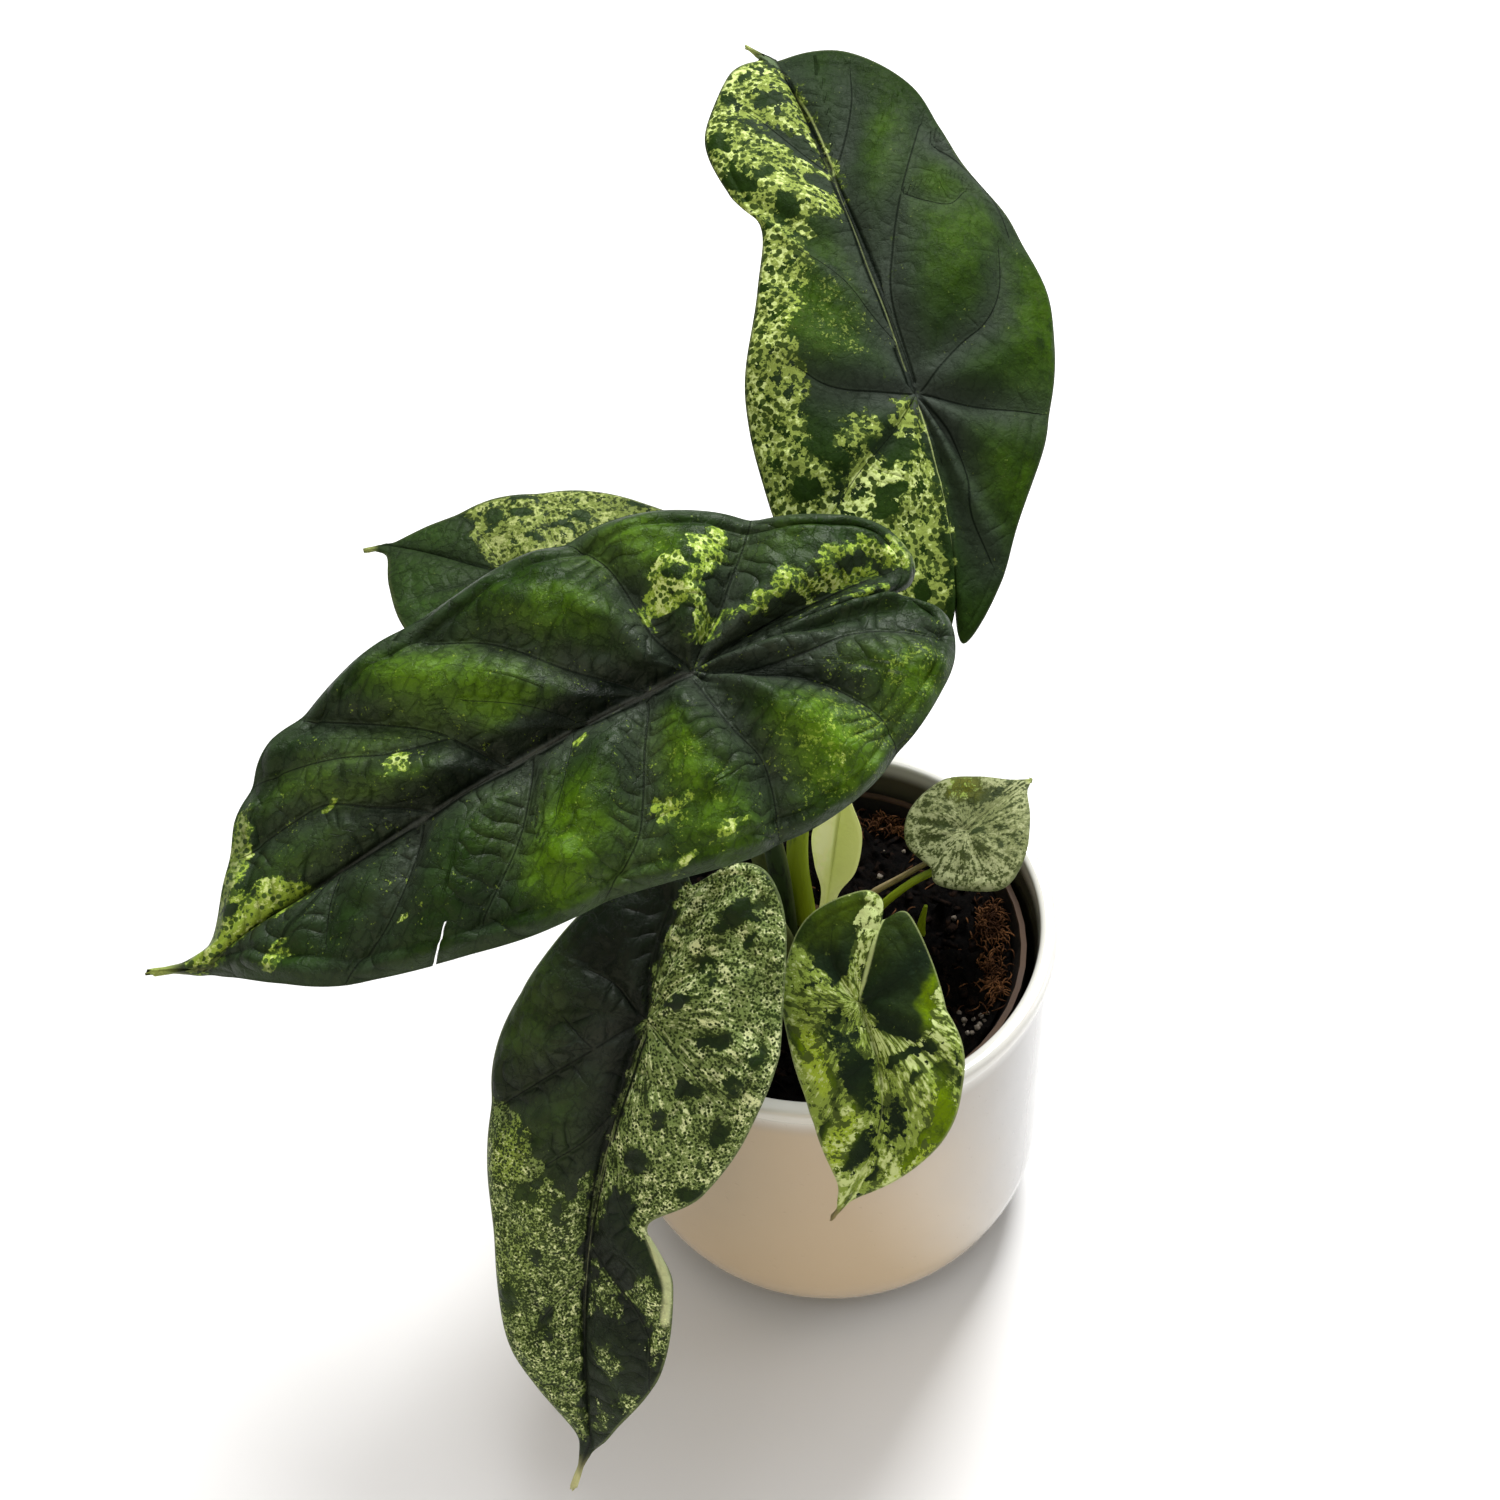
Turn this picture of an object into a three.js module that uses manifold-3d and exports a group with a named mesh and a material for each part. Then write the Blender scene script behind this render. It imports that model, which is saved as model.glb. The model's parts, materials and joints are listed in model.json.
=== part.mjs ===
// Potted marble mint alocasia: six peltate leaves on their stalks, a young leaf, a corm and its soil,
// in a black nursery pot inside a glazed white cover pot. Millimetres, +Z up.
// The origin is the centre of the cover pot's flat base.

import * as THREE from 'three';
import { mergeVertices } from 'three/addons/utils/BufferGeometryUtils.js';
import Module from 'manifold-3d';

const wasm = await Module();
wasm.setup();

// Driving dimensions

const CLEARANCE = 0.35; // between pieces that touch

const COVER = {
  rimRadius: 60,
  mouthRadius: 55.5,
  bodyRadius: 58.8,
  lipHeight: 4,
  height: 110,
  footRadius: 37,
  cornerHeight: 27,
  wall: 4.2,
  floor: 7,
  sides: 56,
};

const NURSERY = {
  rimRadius: 52.5,
  mouthRadius: 50.8,
  rimDrop: 5,
  wall: 1.4,
  top: 100,
  baseRadius: 35.5,
  floor: 1.6,
  sides: 48,
  drainCount: 6,
  drainRadius: 3.2,
  drainCircle: 22,
};

const SOIL = { edge: 95.5, crown: 98, lumps: 1.1, sides: 48, rings: 9 };

const CORM = { x: -6, y: 2, radius: 12.5, top: 101.5, dome: 3.5, depth: 30, sides: 24 };

const BLADE_THICKNESS = 0.9;
const STEM_SIDES = 8;
const STEM_STEPS = 12;

const MATERIALS = {
  glaze: { color: 0xf1efea, roughness: 0.12, metalness: 0 },
  plastic: { color: 0x1c1816, roughness: 0.6, metalness: 0 },
  soil: { color: 0x241812, roughness: 0.95, metalness: 0 },
  corm: { color: 0x5a4a2c, roughness: 0.8, metalness: 0 },
  blade: { color: 0x2f5a2a, roughness: 0.4, metalness: 0 },
  stalk: { color: 0x7f9433, roughness: 0.45, metalness: 0 },
  cream: { color: 0xc9cf82, roughness: 0.5, metalness: 0 },
};

// Each leaf: where its stalk meets the blade, the heading, pitch and roll of its midrib in degrees,
// how the midrib bends (degrees a millimetre) ahead of and behind that point, how steeply each half
// folds up from the midrib and how fast it curls down again, and the sideways sway of the midrib.
// margin: points round each half from the notch to the tip, as [along, out] in millimetres.
// stations: where each pair of main veins leaves the midrib; veins: where each one meets the margin,
// counted in margin points from the notch.

const LEAVES = [
  {
    name: 'tall_leaf',
    at: [29, 50, 234],
    heading: 105,
    pitch: 33,
    roll: 0,
    bend: 0.25,
    back: 0.25,
    sway: 0,
    tail: 5,
    length: 102,
    sinus: 48,
    tip: [108, 6],
    puff: 2.6,
    stations: [0, 0, 0, 8, 33, 57],
    left: {
      fold: 20,
      curl: 1.4,
      margin: [[-57, 9], [-48, 24], [-30, 37], [-10, 41], [10, 39], [34, 28], [49, 22], [61, 26], [79, 26], [97, 14]],
      veins: [1.4, 3, 4.9, 6.3, 8, 9.3],
    },
    right: {
      fold: 16,
      curl: 1,
      margin: [[-58, 2], [-47, 11], [-34, 17], [-12, 30], [13, 40], [38, 39], [59, 32], [82, 28], [98, 17]],
      veins: [1.5, 2.9, 4.2, 5.3, 7, 8.5],
    },
    stalk: { path: [[-4, 5, 102], [-5, 6, 130], [-1, 11, 158], [12, 32, 196], [26, 55, 219]], foot: 2.9, head: 1.8 },
  },
  {
    name: 'large_leaf',
    at: [-25, -37, 238],
    heading: -155,
    pitch: -7,
    roll: -20,
    bend: 0.21,
    back: 0.2,
    sway: -1,
    tail: 4,
    length: 113,
    sinus: 43,
    tip: [124, -6],
    puff: 3,
    stations: [0, 0, 0, 8, 38, 61],
    left: {
      fold: 20,
      curl: 1.3,
      margin: [[-51, 8], [-44, 22], [-21, 38], [1, 42], [34, 36], [59, 32], [87, 22], [100, 13], [111, 3]],
      veins: [0.9, 2.5, 4, 5, 6.1, 7],
    },
    right: {
      fold: 20,
      curl: 0.7,
      margin: [[-50, 2], [-52, 8], [-47, 16], [-29, 23], [-10, 33], [13, 37], [46, 35], [76, 31], [89, 24], [99, 13], [109, 4]],
      veins: [2, 4.3, 6, 7, 8, 9],
    },
    stalk: { path: [[-9, 1, 102.2], [-10, -2, 130], [-13, -8, 160], [-20, -21, 197], [-26, -31, 223]], foot: 2.8, head: 1.8 },
  },
  {
    name: 'left_leaf',
    at: [-50, 31, 196],
    heading: 159,
    pitch: 14,
    roll: -8,
    bend: 0.34,
    back: 0.2,
    sway: 0,
    tail: -6,
    length: 52,
    sinus: 24,
    tip: [57, 3],
    puff: 2,
    stations: [0, 0, 5, 24],
    left: {
      fold: 16,
      curl: 1,
      margin: [[-31, 10], [-18, 29], [4, 35], [24, 31], [37, 23], [45, 13], [50, 4]],
      veins: [1.3, 2.5, 3.6, 4.8],
    },
    right: {
      fold: 16,
      curl: 1,
      margin: [[-31, 12], [-22, 26], [-6, 33], [12, 31], [31, 20], [42, 9], [50, 2]],
      veins: [1.3, 2.6, 4, 5.1],
    },
    stalk: { path: [[-11.5, 6.8, 101.4], [-17, 9, 135], [-34, 19, 166], [-51, 33, 183]], foot: 2.3, head: 1.5 },
  },
  {
    name: 'low_leaf',
    at: [-43, -55, 146],
    heading: -111,
    pitch: -42,
    roll: 0,
    bend: 0.24,
    back: 0.3,
    sway: -5,
    tail: 4,
    length: 105,
    sinus: 32,
    tip: [122, -4],
    puff: 2.2,
    stations: [0, 0, 0, 12, 30, 56],
    left: {
      fold: 20,
      curl: 1.3,
      margin: [[-39, 8], [-37, 17], [-25, 26], [-2, 32], [20, 31], [35, 25], [45, 14], [57, 22], [80, 20], [100, 7]],
      veins: [1.3, 2.8, 4.2, 5.4, 6.8, 8.7],
    },
    right: {
      fold: 20,
      curl: 1.3,
      margin: [[-38, 8], [-23, 20], [-9, 27], [9, 33], [28, 30], [55, 23], [79, 19], [92, 12], [104, 4]],
      veins: [1.1, 2.5, 4, 5, 6, 7],
    },
    stalk: { path: [[-8, -5.5, 101.3], [-14, -11, 124], [-26, -29, 135], [-38, -45, 135]], foot: 2.5, head: 1.6 },
  },
  {
    name: 'front_leaf',
    at: [5, -53, 144],
    heading: -101,
    pitch: -43,
    roll: 0,
    bend: 0.44,
    back: 0.5,
    sway: 6.5,
    tail: 4,
    length: 46,
    sinus: 19,
    tip: [52, -4],
    puff: 1.6,
    stations: [0, 0, 4, 20],
    left: {
      fold: 14,
      curl: 1.4,
      margin: [[-21, 5], [-9, 16], [5, 21], [20, 18], [32, 14], [41, 8]],
      veins: [1.2, 2.4, 3.7, 4.9],
    },
    right: {
      fold: 24,
      curl: 2,
      margin: [[-24, 3], [-25, 9], [-18, 17], [-3, 18], [15, 20], [30, 14], [43, 4]],
      veins: [2, 3.3, 4.7, 5.7],
    },
    stalk: { path: [[-2, -4.5, 101.6], [0, -13, 121], [4, -30, 134], [6, -44, 136]], foot: 2.1, head: 1.3 },
  },
  {
    name: 'small_leaf',
    at: [38, 10, 127],
    heading: 32,
    pitch: 22,
    roll: 0,
    bend: 0.8,
    back: 0.2,
    sway: 0,
    tail: -1,
    length: 19,
    sinus: 13,
    tip: [22, 0],
    puff: 0.7,
    stations: [0, 0, 4],
    left: {
      fold: 10,
      curl: 1,
      margin: [[-13, 10], [-6, 16], [5, 16], [12, 10], [17, 4]],
      veins: [1, 2, 3],
    },
    right: {
      fold: 10,
      curl: 1,
      margin: [[-15, 4], [-11, 12], [-4, 19], [5, 17], [13, 10], [18, 3]],
      veins: [1.5, 3, 4.2],
    },
    stalk: { path: [[13, 7, 85], [14, 7, 99], [23, 7, 111], [37, 9, 119]], foot: 1.2, head: 0.9 },
  },
];

const YOUNG_LEAF = {
  name: 'young_leaf',
  at: [0, 1.5, 102.3],
  heading: 57,
  pitch: 70,
  roll: 25,
  bend: 0.2,
  back: 0.2,
  sway: 0,
  tail: 0,
  length: 38,
  sinus: 0.5,
  tip: [42, 0],
  puff: 0.2,
  stations: [12, 24],
  left: { fold: 35, curl: 5, margin: [[2, 2], [12, 3], [20, 6.5], [30, 6.5], [37, 3]], veins: [2, 3.5] },
  right: { fold: 35, curl: 5, margin: [[2, 2], [12, 3], [20, 6.5], [30, 6.5], [37, 3]], veins: [2, 3.5] },
};

const SHOOT = { path: [[26, 3, 84], [26, 3, 98], [26.5, 2.5, 104], [27, 2, 108]], foot: 2, head: 0.5 };

const VEIN_BOW = 0.1; // how far a vein bows back, as a share of its length
const NECK_HALF_WIDTH = 1.3; // of the blade where its drip tip begins
const LARGE_GRID = { perPanel: 4, rows: 6 };
const SMALL_GRID = { perPanel: 3, rows: 4 };
const LARGE_BLADE = 100; // blades at least this long get the large grid

// Leaf blades

const radians = THREE.MathUtils.degToRad;

// The point of a blade that lies along its midrib and out from it, and the blade's upward normal there.
function bladePoint(leaf, along, out) {
  const heading = radians(leaf.heading);
  const pitch = radians(leaf.pitch);
  const roll = radians(leaf.roll);
  const ahead = new THREE.Vector3(
    Math.cos(pitch) * Math.cos(heading),
    Math.cos(pitch) * Math.sin(heading),
    Math.sin(pitch),
  );
  const level = new THREE.Vector3(-Math.sin(heading), Math.cos(heading), 0);
  const over = new THREE.Vector3().crossVectors(ahead, level);
  const side = level.clone().multiplyScalar(Math.cos(roll)).addScaledVector(over, Math.sin(roll));
  const up = over.clone().multiplyScalar(Math.cos(roll)).addScaledVector(level, -Math.sin(roll));

  const rate = radians(along >= 0 ? leaf.bend : leaf.back);
  const turn = rate * along;
  const sway = along >= 0
    ? leaf.sway * Math.sin(Math.PI * Math.min(along / leaf.length, 1))
    : leaf.tail * (along / leaf.sinus) ** 2;
  const crown = up.clone().multiplyScalar(Math.cos(turn)).addScaledVector(ahead, Math.sin(turn));

  const half = out >= 0 ? leaf.left : leaf.right;
  const fold = radians(half.fold);
  const curl = radians(half.curl);
  const angle = fold - curl * Math.abs(out);
  const reach = Math.sign(out) * (Math.sin(fold) - Math.sin(angle)) / curl;
  const rise = (Math.cos(angle) - Math.cos(fold)) / curl;

  const point = new THREE.Vector3(...leaf.at)
    .addScaledVector(ahead, Math.sin(turn) / rate)
    .addScaledVector(up, (Math.cos(turn) - 1) / rate)
    .addScaledVector(side, sway + reach)
    .addScaledVector(crown, rise);
  const normal = crown.multiplyScalar(Math.cos(angle)).addScaledVector(side, -Math.sign(out) * Math.sin(angle));
  return { point, normal };
}

// A smooth curve through points, at a place that counts the points.
function through(points, place) {
  const last = points.length - 1;
  const i = Math.min(Math.floor(place), last - 1);
  const t = place - i;
  const mix = (a, b, c, d) =>
    0.5 * (2 * b + (c - a) * t + (2 * a - 5 * b + 4 * c - d) * t * t + (3 * b - a - 3 * c + d) * t ** 3);
  const before = points[i - 1] ?? points[0].map((value, k) => 2 * value - points[1][k]);
  const after = points[i + 2] ?? points[last].map((value, k) => 2 * value - points[last - 1][k]);
  return points[i].map((value, k) => mix(before[k], value, points[i + 1][k], after[k]));
}

// The margin of one half, from the notch round its lobe to the tip, with out signed by the side.
function marginOf(leaf, half, sign) {
  const neck = [
    0.65 * leaf.length + 0.35 * leaf.tip[0],
    0.35 * leaf.tip[1] + sign * NECK_HALF_WIDTH,
  ];
  return [[-leaf.sinus, 0], ...half.margin.map(([along, out]) => [along, sign * out]), neck, leaf.tip];
}

// The midrib, and the straight drip tip past the end of it.
function midribOut(leaf, along) {
  return along <= leaf.length ? 0 : leaf.tip[1] * (along - leaf.length) / (leaf.tip[0] - leaf.length);
}

// One half of a blade: columns run from the midrib to the margin, a few to each panel between two
// veins, and every panel is puffed up between its veins.
function halfSheet(leaf, half, sign) {
  const { perPanel, rows } = leaf.length >= LARGE_BLADE ? LARGE_GRID : SMALL_GRID;
  const margin = marginOf(leaf, half, sign);
  const places = [0, ...half.veins, margin.length - 1];
  const stations = [-leaf.sinus, ...leaf.stations, leaf.tip[0]];
  const columns = (places.length - 1) * perPanel;
  const grid = [];
  for (let column = 0; column <= columns; column += 1) {
    const panel = Math.min(Math.floor(column / perPanel), places.length - 2);
    const across = column / perPanel - panel;
    const place = THREE.MathUtils.lerp(places[panel], places[panel + 1], across);
    const inner = THREE.MathUtils.lerp(stations[panel], stations[panel + 1], across);
    const innerOut = midribOut(leaf, inner);
    const [edge, edgeOut] = through(margin, place);
    const width = Math.hypot(edge - inner, edgeOut - innerOut);
    const bowed = sign * edgeOut > 0 ? VEIN_BOW * width : 0;
    for (let row = 0; row <= rows; row += 1) {
      const b = row / rows;
      const along = THREE.MathUtils.lerp(inner, edge, b) - bowed * Math.sin(Math.PI * b);
      const out = THREE.MathUtils.lerp(innerOut, edgeOut, b);
      const { point, normal } = bladePoint(leaf, along, out);
      const size = Math.min(1, width / 20);
      const puff = leaf.puff * size * Math.sin(Math.PI * across) ** 2 * Math.sin(Math.PI * b ** 0.8);
      grid.push(point.addScaledVector(normal, puff));
    }
  }
  const faces = [];
  const corner = (column, row) => column * (rows + 1) + row;
  for (let column = 0; column < columns; column += 1) {
    for (let row = 0; row < rows; row += 1) {
      const a = corner(column, row);
      const b = corner(column + 1, row);
      const c = corner(column + 1, row + 1);
      const d = corner(column, row + 1);
      faces.push(...(sign > 0 ? [[a, b, c], [a, c, d]] : [[a, c, b], [a, d, c]]));
    }
  }
  return { grid, faces };
}

// A surface with its shared points merged and its faces of no area dropped.
function weld(points, faces) {
  const geometry = new THREE.BufferGeometry();
  geometry.setAttribute('position', new THREE.Float32BufferAttribute(points.flatMap((p) => [p.x, p.y, p.z]), 3));
  geometry.setIndex(faces.flat());
  const merged = mergeVertices(geometry, 0.01);
  const index = merged.index.array;
  const kept = [];
  for (let i = 0; i < index.length; i += 3) {
    const [a, b, c] = [index[i], index[i + 1], index[i + 2]];
    if (a !== b && b !== c && c !== a) {
      kept.push(a, b, c);
    }
  }
  merged.setIndex(kept);
  return merged;
}

// A closed plate of even thickness about a surface: both faces have the same triangles.
function thicken(surface, thickness) {
  surface.computeVertexNormals();
  const position = surface.attributes.position;
  const normal = surface.attributes.normal;
  const index = [...surface.index.array];
  const count = position.count;
  const points = [];
  for (const offset of [thickness / 2, -thickness / 2]) {
    for (let i = 0; i < count; i += 1) {
      points.push(
        position.getX(i) + offset * normal.getX(i),
        position.getY(i) + offset * normal.getY(i),
        position.getZ(i) + offset * normal.getZ(i),
      );
    }
  }
  const directed = new Set();
  for (let i = 0; i < index.length; i += 3) {
    for (let k = 0; k < 3; k += 1) {
      directed.add(`${index[i + k]},${index[i + (k + 1) % 3]}`);
    }
  }
  const faces = [...index];
  for (let i = 0; i < index.length; i += 3) {
    faces.push(index[i] + count, index[i + 2] + count, index[i + 1] + count);
  }
  for (const edge of directed) {
    const [a, b] = edge.split(',').map(Number);
    if (!directed.has(`${b},${a}`)) {
      faces.push(a, a + count, b, b, a + count, b + count);
    }
  }
  const geometry = new THREE.BufferGeometry();
  geometry.setAttribute('position', new THREE.Float32BufferAttribute(points, 3));
  geometry.setIndex(faces);
  return geometry;
}

function bladeGeometry(leaf) {
  const left = halfSheet(leaf, leaf.left, 1);
  const right = halfSheet(leaf, leaf.right, -1);
  const shift = left.grid.length;
  const faces = [...left.faces, ...right.faces.map((face) => face.map((i) => i + shift))];
  return thicken(weld([...left.grid, ...right.grid], faces), BLADE_THICKNESS);
}

// Stalks

// A closed round stalk along a smooth path, narrowing from its foot to its head.
function stalkGeometry(path, foot, head, steps = STEM_STEPS, sides = STEM_SIDES) {
  const curve = new THREE.CatmullRomCurve3(path.map((p) => new THREE.Vector3(...p)));
  const frames = curve.computeFrenetFrames(steps, false);
  const points = [];
  for (let step = 0; step <= steps; step += 1) {
    const centre = curve.getPointAt(step / steps);
    const radius = THREE.MathUtils.lerp(foot, head, step / steps);
    for (let side = 0; side < sides; side += 1) {
      const angle = 2 * Math.PI * side / sides;
      points.push(centre.clone()
        .addScaledVector(frames.normals[step], radius * Math.cos(angle))
        .addScaledVector(frames.binormals[step], radius * Math.sin(angle)));
    }
  }
  const start = points.push(curve.getPointAt(0)) - 1;
  const end = points.push(curve.getPointAt(1)) - 1;
  const faces = [];
  for (let side = 0; side < sides; side += 1) {
    const next = (side + 1) % sides;
    for (let step = 0; step < steps; step += 1) {
      const a = step * sides + side;
      const b = step * sides + next;
      faces.push([a, b, b + sides], [a, b + sides, a + sides]);
    }
    faces.push([start, next, side], [end, steps * sides + side, steps * sides + next]);
  }
  return weld(points, faces);
}

// The stalk's path, ended square under the blade where the two meet.
function stalkPath(leaf) {
  const { point, normal } = bladePoint(leaf, 0, 1e-6);
  const { normal: other } = bladePoint(leaf, 0, -1e-6);
  const down = normal.add(other).normalize().negate();
  const end = point.addScaledVector(down, BLADE_THICKNESS / 2 + CLEARANCE);
  return [...leaf.stalk.path, end.toArray()];
}

// Solids that are cut

function solidOf(geometry) {
  const bare = geometry.clone();
  for (const name of ['normal', 'uv']) {
    bare.deleteAttribute(name);
  }
  const merged = mergeVertices(bare, 1e-4);
  return new wasm.Manifold(new wasm.Mesh({
    numProp: 3,
    vertProperties: new Float32Array(merged.attributes.position.array),
    triVerts: new Uint32Array(merged.index.array),
  }));
}

function geometryOf(solid) {
  const mesh = solid.getMesh();
  const geometry = new THREE.BufferGeometry();
  geometry.setAttribute('position', new THREE.Float32BufferAttribute(mesh.vertProperties, 3));
  geometry.setIndex([...mesh.triVerts]);
  return geometry;
}

// A turned piece about the vertical axis, from points given as [radius, height].
function turned(profile, sides) {
  const points = profile.map(([radius, height]) => new THREE.Vector2(radius, height));
  return new THREE.LatheGeometry(points, sides).rotateX(Math.PI / 2);
}

// A quarter of an ellipse from an upright wall to a level floor, as [radius, height] points.
function corner(wallRadius, floorRadius, floor, top, steps) {
  const points = [];
  for (let step = 0; step <= steps; step += 1) {
    const angle = Math.PI / 2 * step / steps;
    points.push([
      floorRadius + (wallRadius - floorRadius) * Math.cos(angle),
      top - (top - floor) * Math.sin(angle),
    ]);
  }
  return points;
}

// Pots

function coverPot() {
  const { rimRadius, mouthRadius, bodyRadius, lipHeight, height } = COVER;
  const inside = bodyRadius - COVER.wall;
  const insideCorner = COVER.cornerHeight + COVER.floor;
  const floorRadius = COVER.footRadius - COVER.wall / 2;
  const wallDown = corner(inside, floorRadius, COVER.floor, insideCorner, 7);
  const wallUp = corner(bodyRadius, COVER.footRadius, 0, COVER.cornerHeight, 8).reverse();
  const profile = [
    [0, 0],
    ...wallUp,
    [bodyRadius, height - lipHeight - 1],
    [rimRadius, height - lipHeight + 0.5],
    [rimRadius, height - 1.5],
    [rimRadius - 0.8, height - 0.4],
    [rimRadius - 2, height],
    [mouthRadius + 1.4, height],
    [mouthRadius + 0.4, height - 0.5],
    [mouthRadius, height - 1.6],
    [inside, height - lipHeight - 4],
    ...wallDown,
    [0, COVER.floor],
  ];
  return turned(profile, COVER.sides);
}

// The nursery pot's wall slopes evenly from its rim to its base.
function nurseryRadius(height) {
  const base = COVER.floor + CLEARANCE;
  const share = (height - base) / (NURSERY.top - NURSERY.rimDrop - base);
  return THREE.MathUtils.lerp(NURSERY.baseRadius, NURSERY.mouthRadius, share);
}

function nurseryPot() {
  const base = COVER.floor + CLEARANCE;
  const ledge = NURSERY.top - NURSERY.rimDrop;
  const profile = [
    [0, base],
    [NURSERY.baseRadius - 1, base],
    [nurseryRadius(base + 1), base + 1],
    [nurseryRadius(ledge), ledge],
    [NURSERY.rimRadius, ledge],
    [NURSERY.rimRadius, NURSERY.top],
    [NURSERY.rimRadius - NURSERY.wall, NURSERY.top],
    [nurseryRadius(ledge) - NURSERY.wall, ledge],
    [nurseryRadius(base) - NURSERY.wall, base + NURSERY.floor],
    [0, base + NURSERY.floor],
  ];
  let solid = solidOf(turned(profile, NURSERY.sides));
  for (let hole = 0; hole < NURSERY.drainCount; hole += 1) {
    const angle = 2 * Math.PI * hole / NURSERY.drainCount;
    const drain = new THREE.CylinderGeometry(NURSERY.drainRadius, NURSERY.drainRadius, 4 * NURSERY.floor, 12)
      .rotateX(Math.PI / 2)
      .translate(
        NURSERY.drainCircle * Math.cos(angle),
        NURSERY.drainCircle * Math.sin(angle),
        base + NURSERY.floor / 2,
      );
    solid = solid.subtract(solidOf(drain));
  }
  return geometryOf(solid);
}

// Soil and what grows from it

function cormProfile(spare) {
  const { radius, top, dome, depth } = CORM;
  return [
    [0, top - depth - spare],
    [0.55 * radius, top - depth + 2 - spare],
    [0.95 * radius + spare, top - 0.62 * depth],
    [radius + spare, top - 0.38 * depth],
    [radius + spare, top - dome],
    [0.75 * radius + spare, top - 0.35 * dome + spare],
    [0.4 * radius, top - 0.05 * dome + spare],
    [0, top + spare],
  ];
}

// Low lumps over the top of the soil.
function soilLump(x, y) {
  return SOIL.lumps * Math.sin(0.31 * x + 1.3) * Math.cos(0.27 * y - 0.6) + 0.4 * SOIL.lumps * Math.sin(0.7 * x - 0.9 * y);
}

function soilTop(x, y) {
  const fromCorm = Math.hypot(x - CORM.x, y - CORM.y);
  const heap = (SOIL.crown - SOIL.edge) * Math.max(0, 1 - fromCorm / 40) ** 1.2;
  return SOIL.edge + heap + soilLump(x, y);
}

// The bed of soil, with plain holes for the corm and for the stalks that rise out of the bed beside it.
function soilBed(holes) {
  const base = COVER.floor + NURSERY.floor + 2 * CLEARANCE;
  const rim = NURSERY.top - NURSERY.rimDrop;
  const inset = NURSERY.wall + CLEARANCE + 0.2;
  const outer = nurseryRadius(rim) - inset;
  const points = [];
  const faces = [];
  const ringAt = (radiusShare, low) => {
    for (let side = 0; side < SOIL.sides; side += 1) {
      const angle = 2 * Math.PI * side / SOIL.sides;
      const x = radiusShare * Math.cos(angle);
      const y = radiusShare * Math.sin(angle);
      points.push(new THREE.Vector3(x, y, low ?? soilTop(x, y)));
    }
  };
  ringAt(nurseryRadius(base) - inset, base);
  for (let ring = SOIL.rings; ring >= 1; ring -= 1) {
    ringAt(outer * ring / SOIL.rings);
  }
  const bottom = points.push(new THREE.Vector3(0, 0, base)) - 1;
  const top = points.push(new THREE.Vector3(0, 0, soilTop(0, 0))) - 1;
  for (let side = 0; side < SOIL.sides; side += 1) {
    const next = (side + 1) % SOIL.sides;
    for (let ring = 0; ring < SOIL.rings; ring += 1) {
      const a = ring * SOIL.sides + side;
      const b = ring * SOIL.sides + next;
      faces.push([a, b, b + SOIL.sides], [a, b + SOIL.sides, a + SOIL.sides]);
    }
    const last = SOIL.rings * SOIL.sides;
    faces.push([bottom, next, side], [top, last + side, last + next]);
  }
  let solid = solidOf(weld(points, faces));
  const pit = turned(cormProfile(CLEARANCE), CORM.sides).translate(CORM.x, CORM.y, 0);
  const shaft = new THREE.CylinderGeometry(CORM.radius + CLEARANCE, CORM.radius + CLEARANCE, 10, CORM.sides)
    .rotateX(Math.PI / 2)
    .translate(CORM.x, CORM.y, CORM.top - CORM.dome + 5);
  for (const cut of [pit, shaft, ...holes]) {
    solid = solid.subtract(solidOf(cut));
  }
  return geometryOf(solid);
}

function cormGeometry() {
  return turned(cormProfile(0), CORM.sides).translate(CORM.x, CORM.y, 0);
}

// A plain hole round the buried part of a stalk.
function stalkHole(stalk) {
  return stalkGeometry(stalk.path, stalk.foot + CLEARANCE, stalk.foot + CLEARANCE)
    .translate(0, 0, -CLEARANCE);
}

// The whole plant in its pots

const plant = new THREE.Group();

function add(name, geometry, look) {
  const mesh = new THREE.Mesh(geometry, new THREE.MeshStandardMaterial(MATERIALS[look]));
  mesh.name = name;
  plant.add(mesh);
}

const smallLeaf = LEAVES.find((leaf) => leaf.name === 'small_leaf');

add('cover_pot', coverPot(), 'glaze');
add('nursery_pot', nurseryPot(), 'plastic');
add('soil', soilBed([stalkHole(smallLeaf.stalk), stalkHole(SHOOT)]), 'soil');
add('corm', cormGeometry(), 'corm');
for (const leaf of LEAVES) {
  add(`${leaf.name}_blade`, bladeGeometry(leaf), 'blade');
  add(`${leaf.name}_stalk`, stalkGeometry(stalkPath(leaf), leaf.stalk.foot, leaf.stalk.head), 'stalk');
}
add('young_leaf', bladeGeometry(YOUNG_LEAF), 'cream');
add('shoot', stalkGeometry(SHOOT.path, SHOOT.foot, SHOOT.head), 'stalk');

export default plant;
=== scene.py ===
"""Potted marble mint alocasia: the looks of the plant, its soil and its two pots.

Lengths are in millimetres until a mesh is made, where they become metres. A leaf is worked out on its
own flat plan, along its midrib and out from it, and then laid over a folded and bent form.
"""

import json
import logging
from dataclasses import dataclass, field
from enum import Enum
from typing import Any

import bpy
import numpy as np
from mathutils import Matrix, Vector

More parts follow.
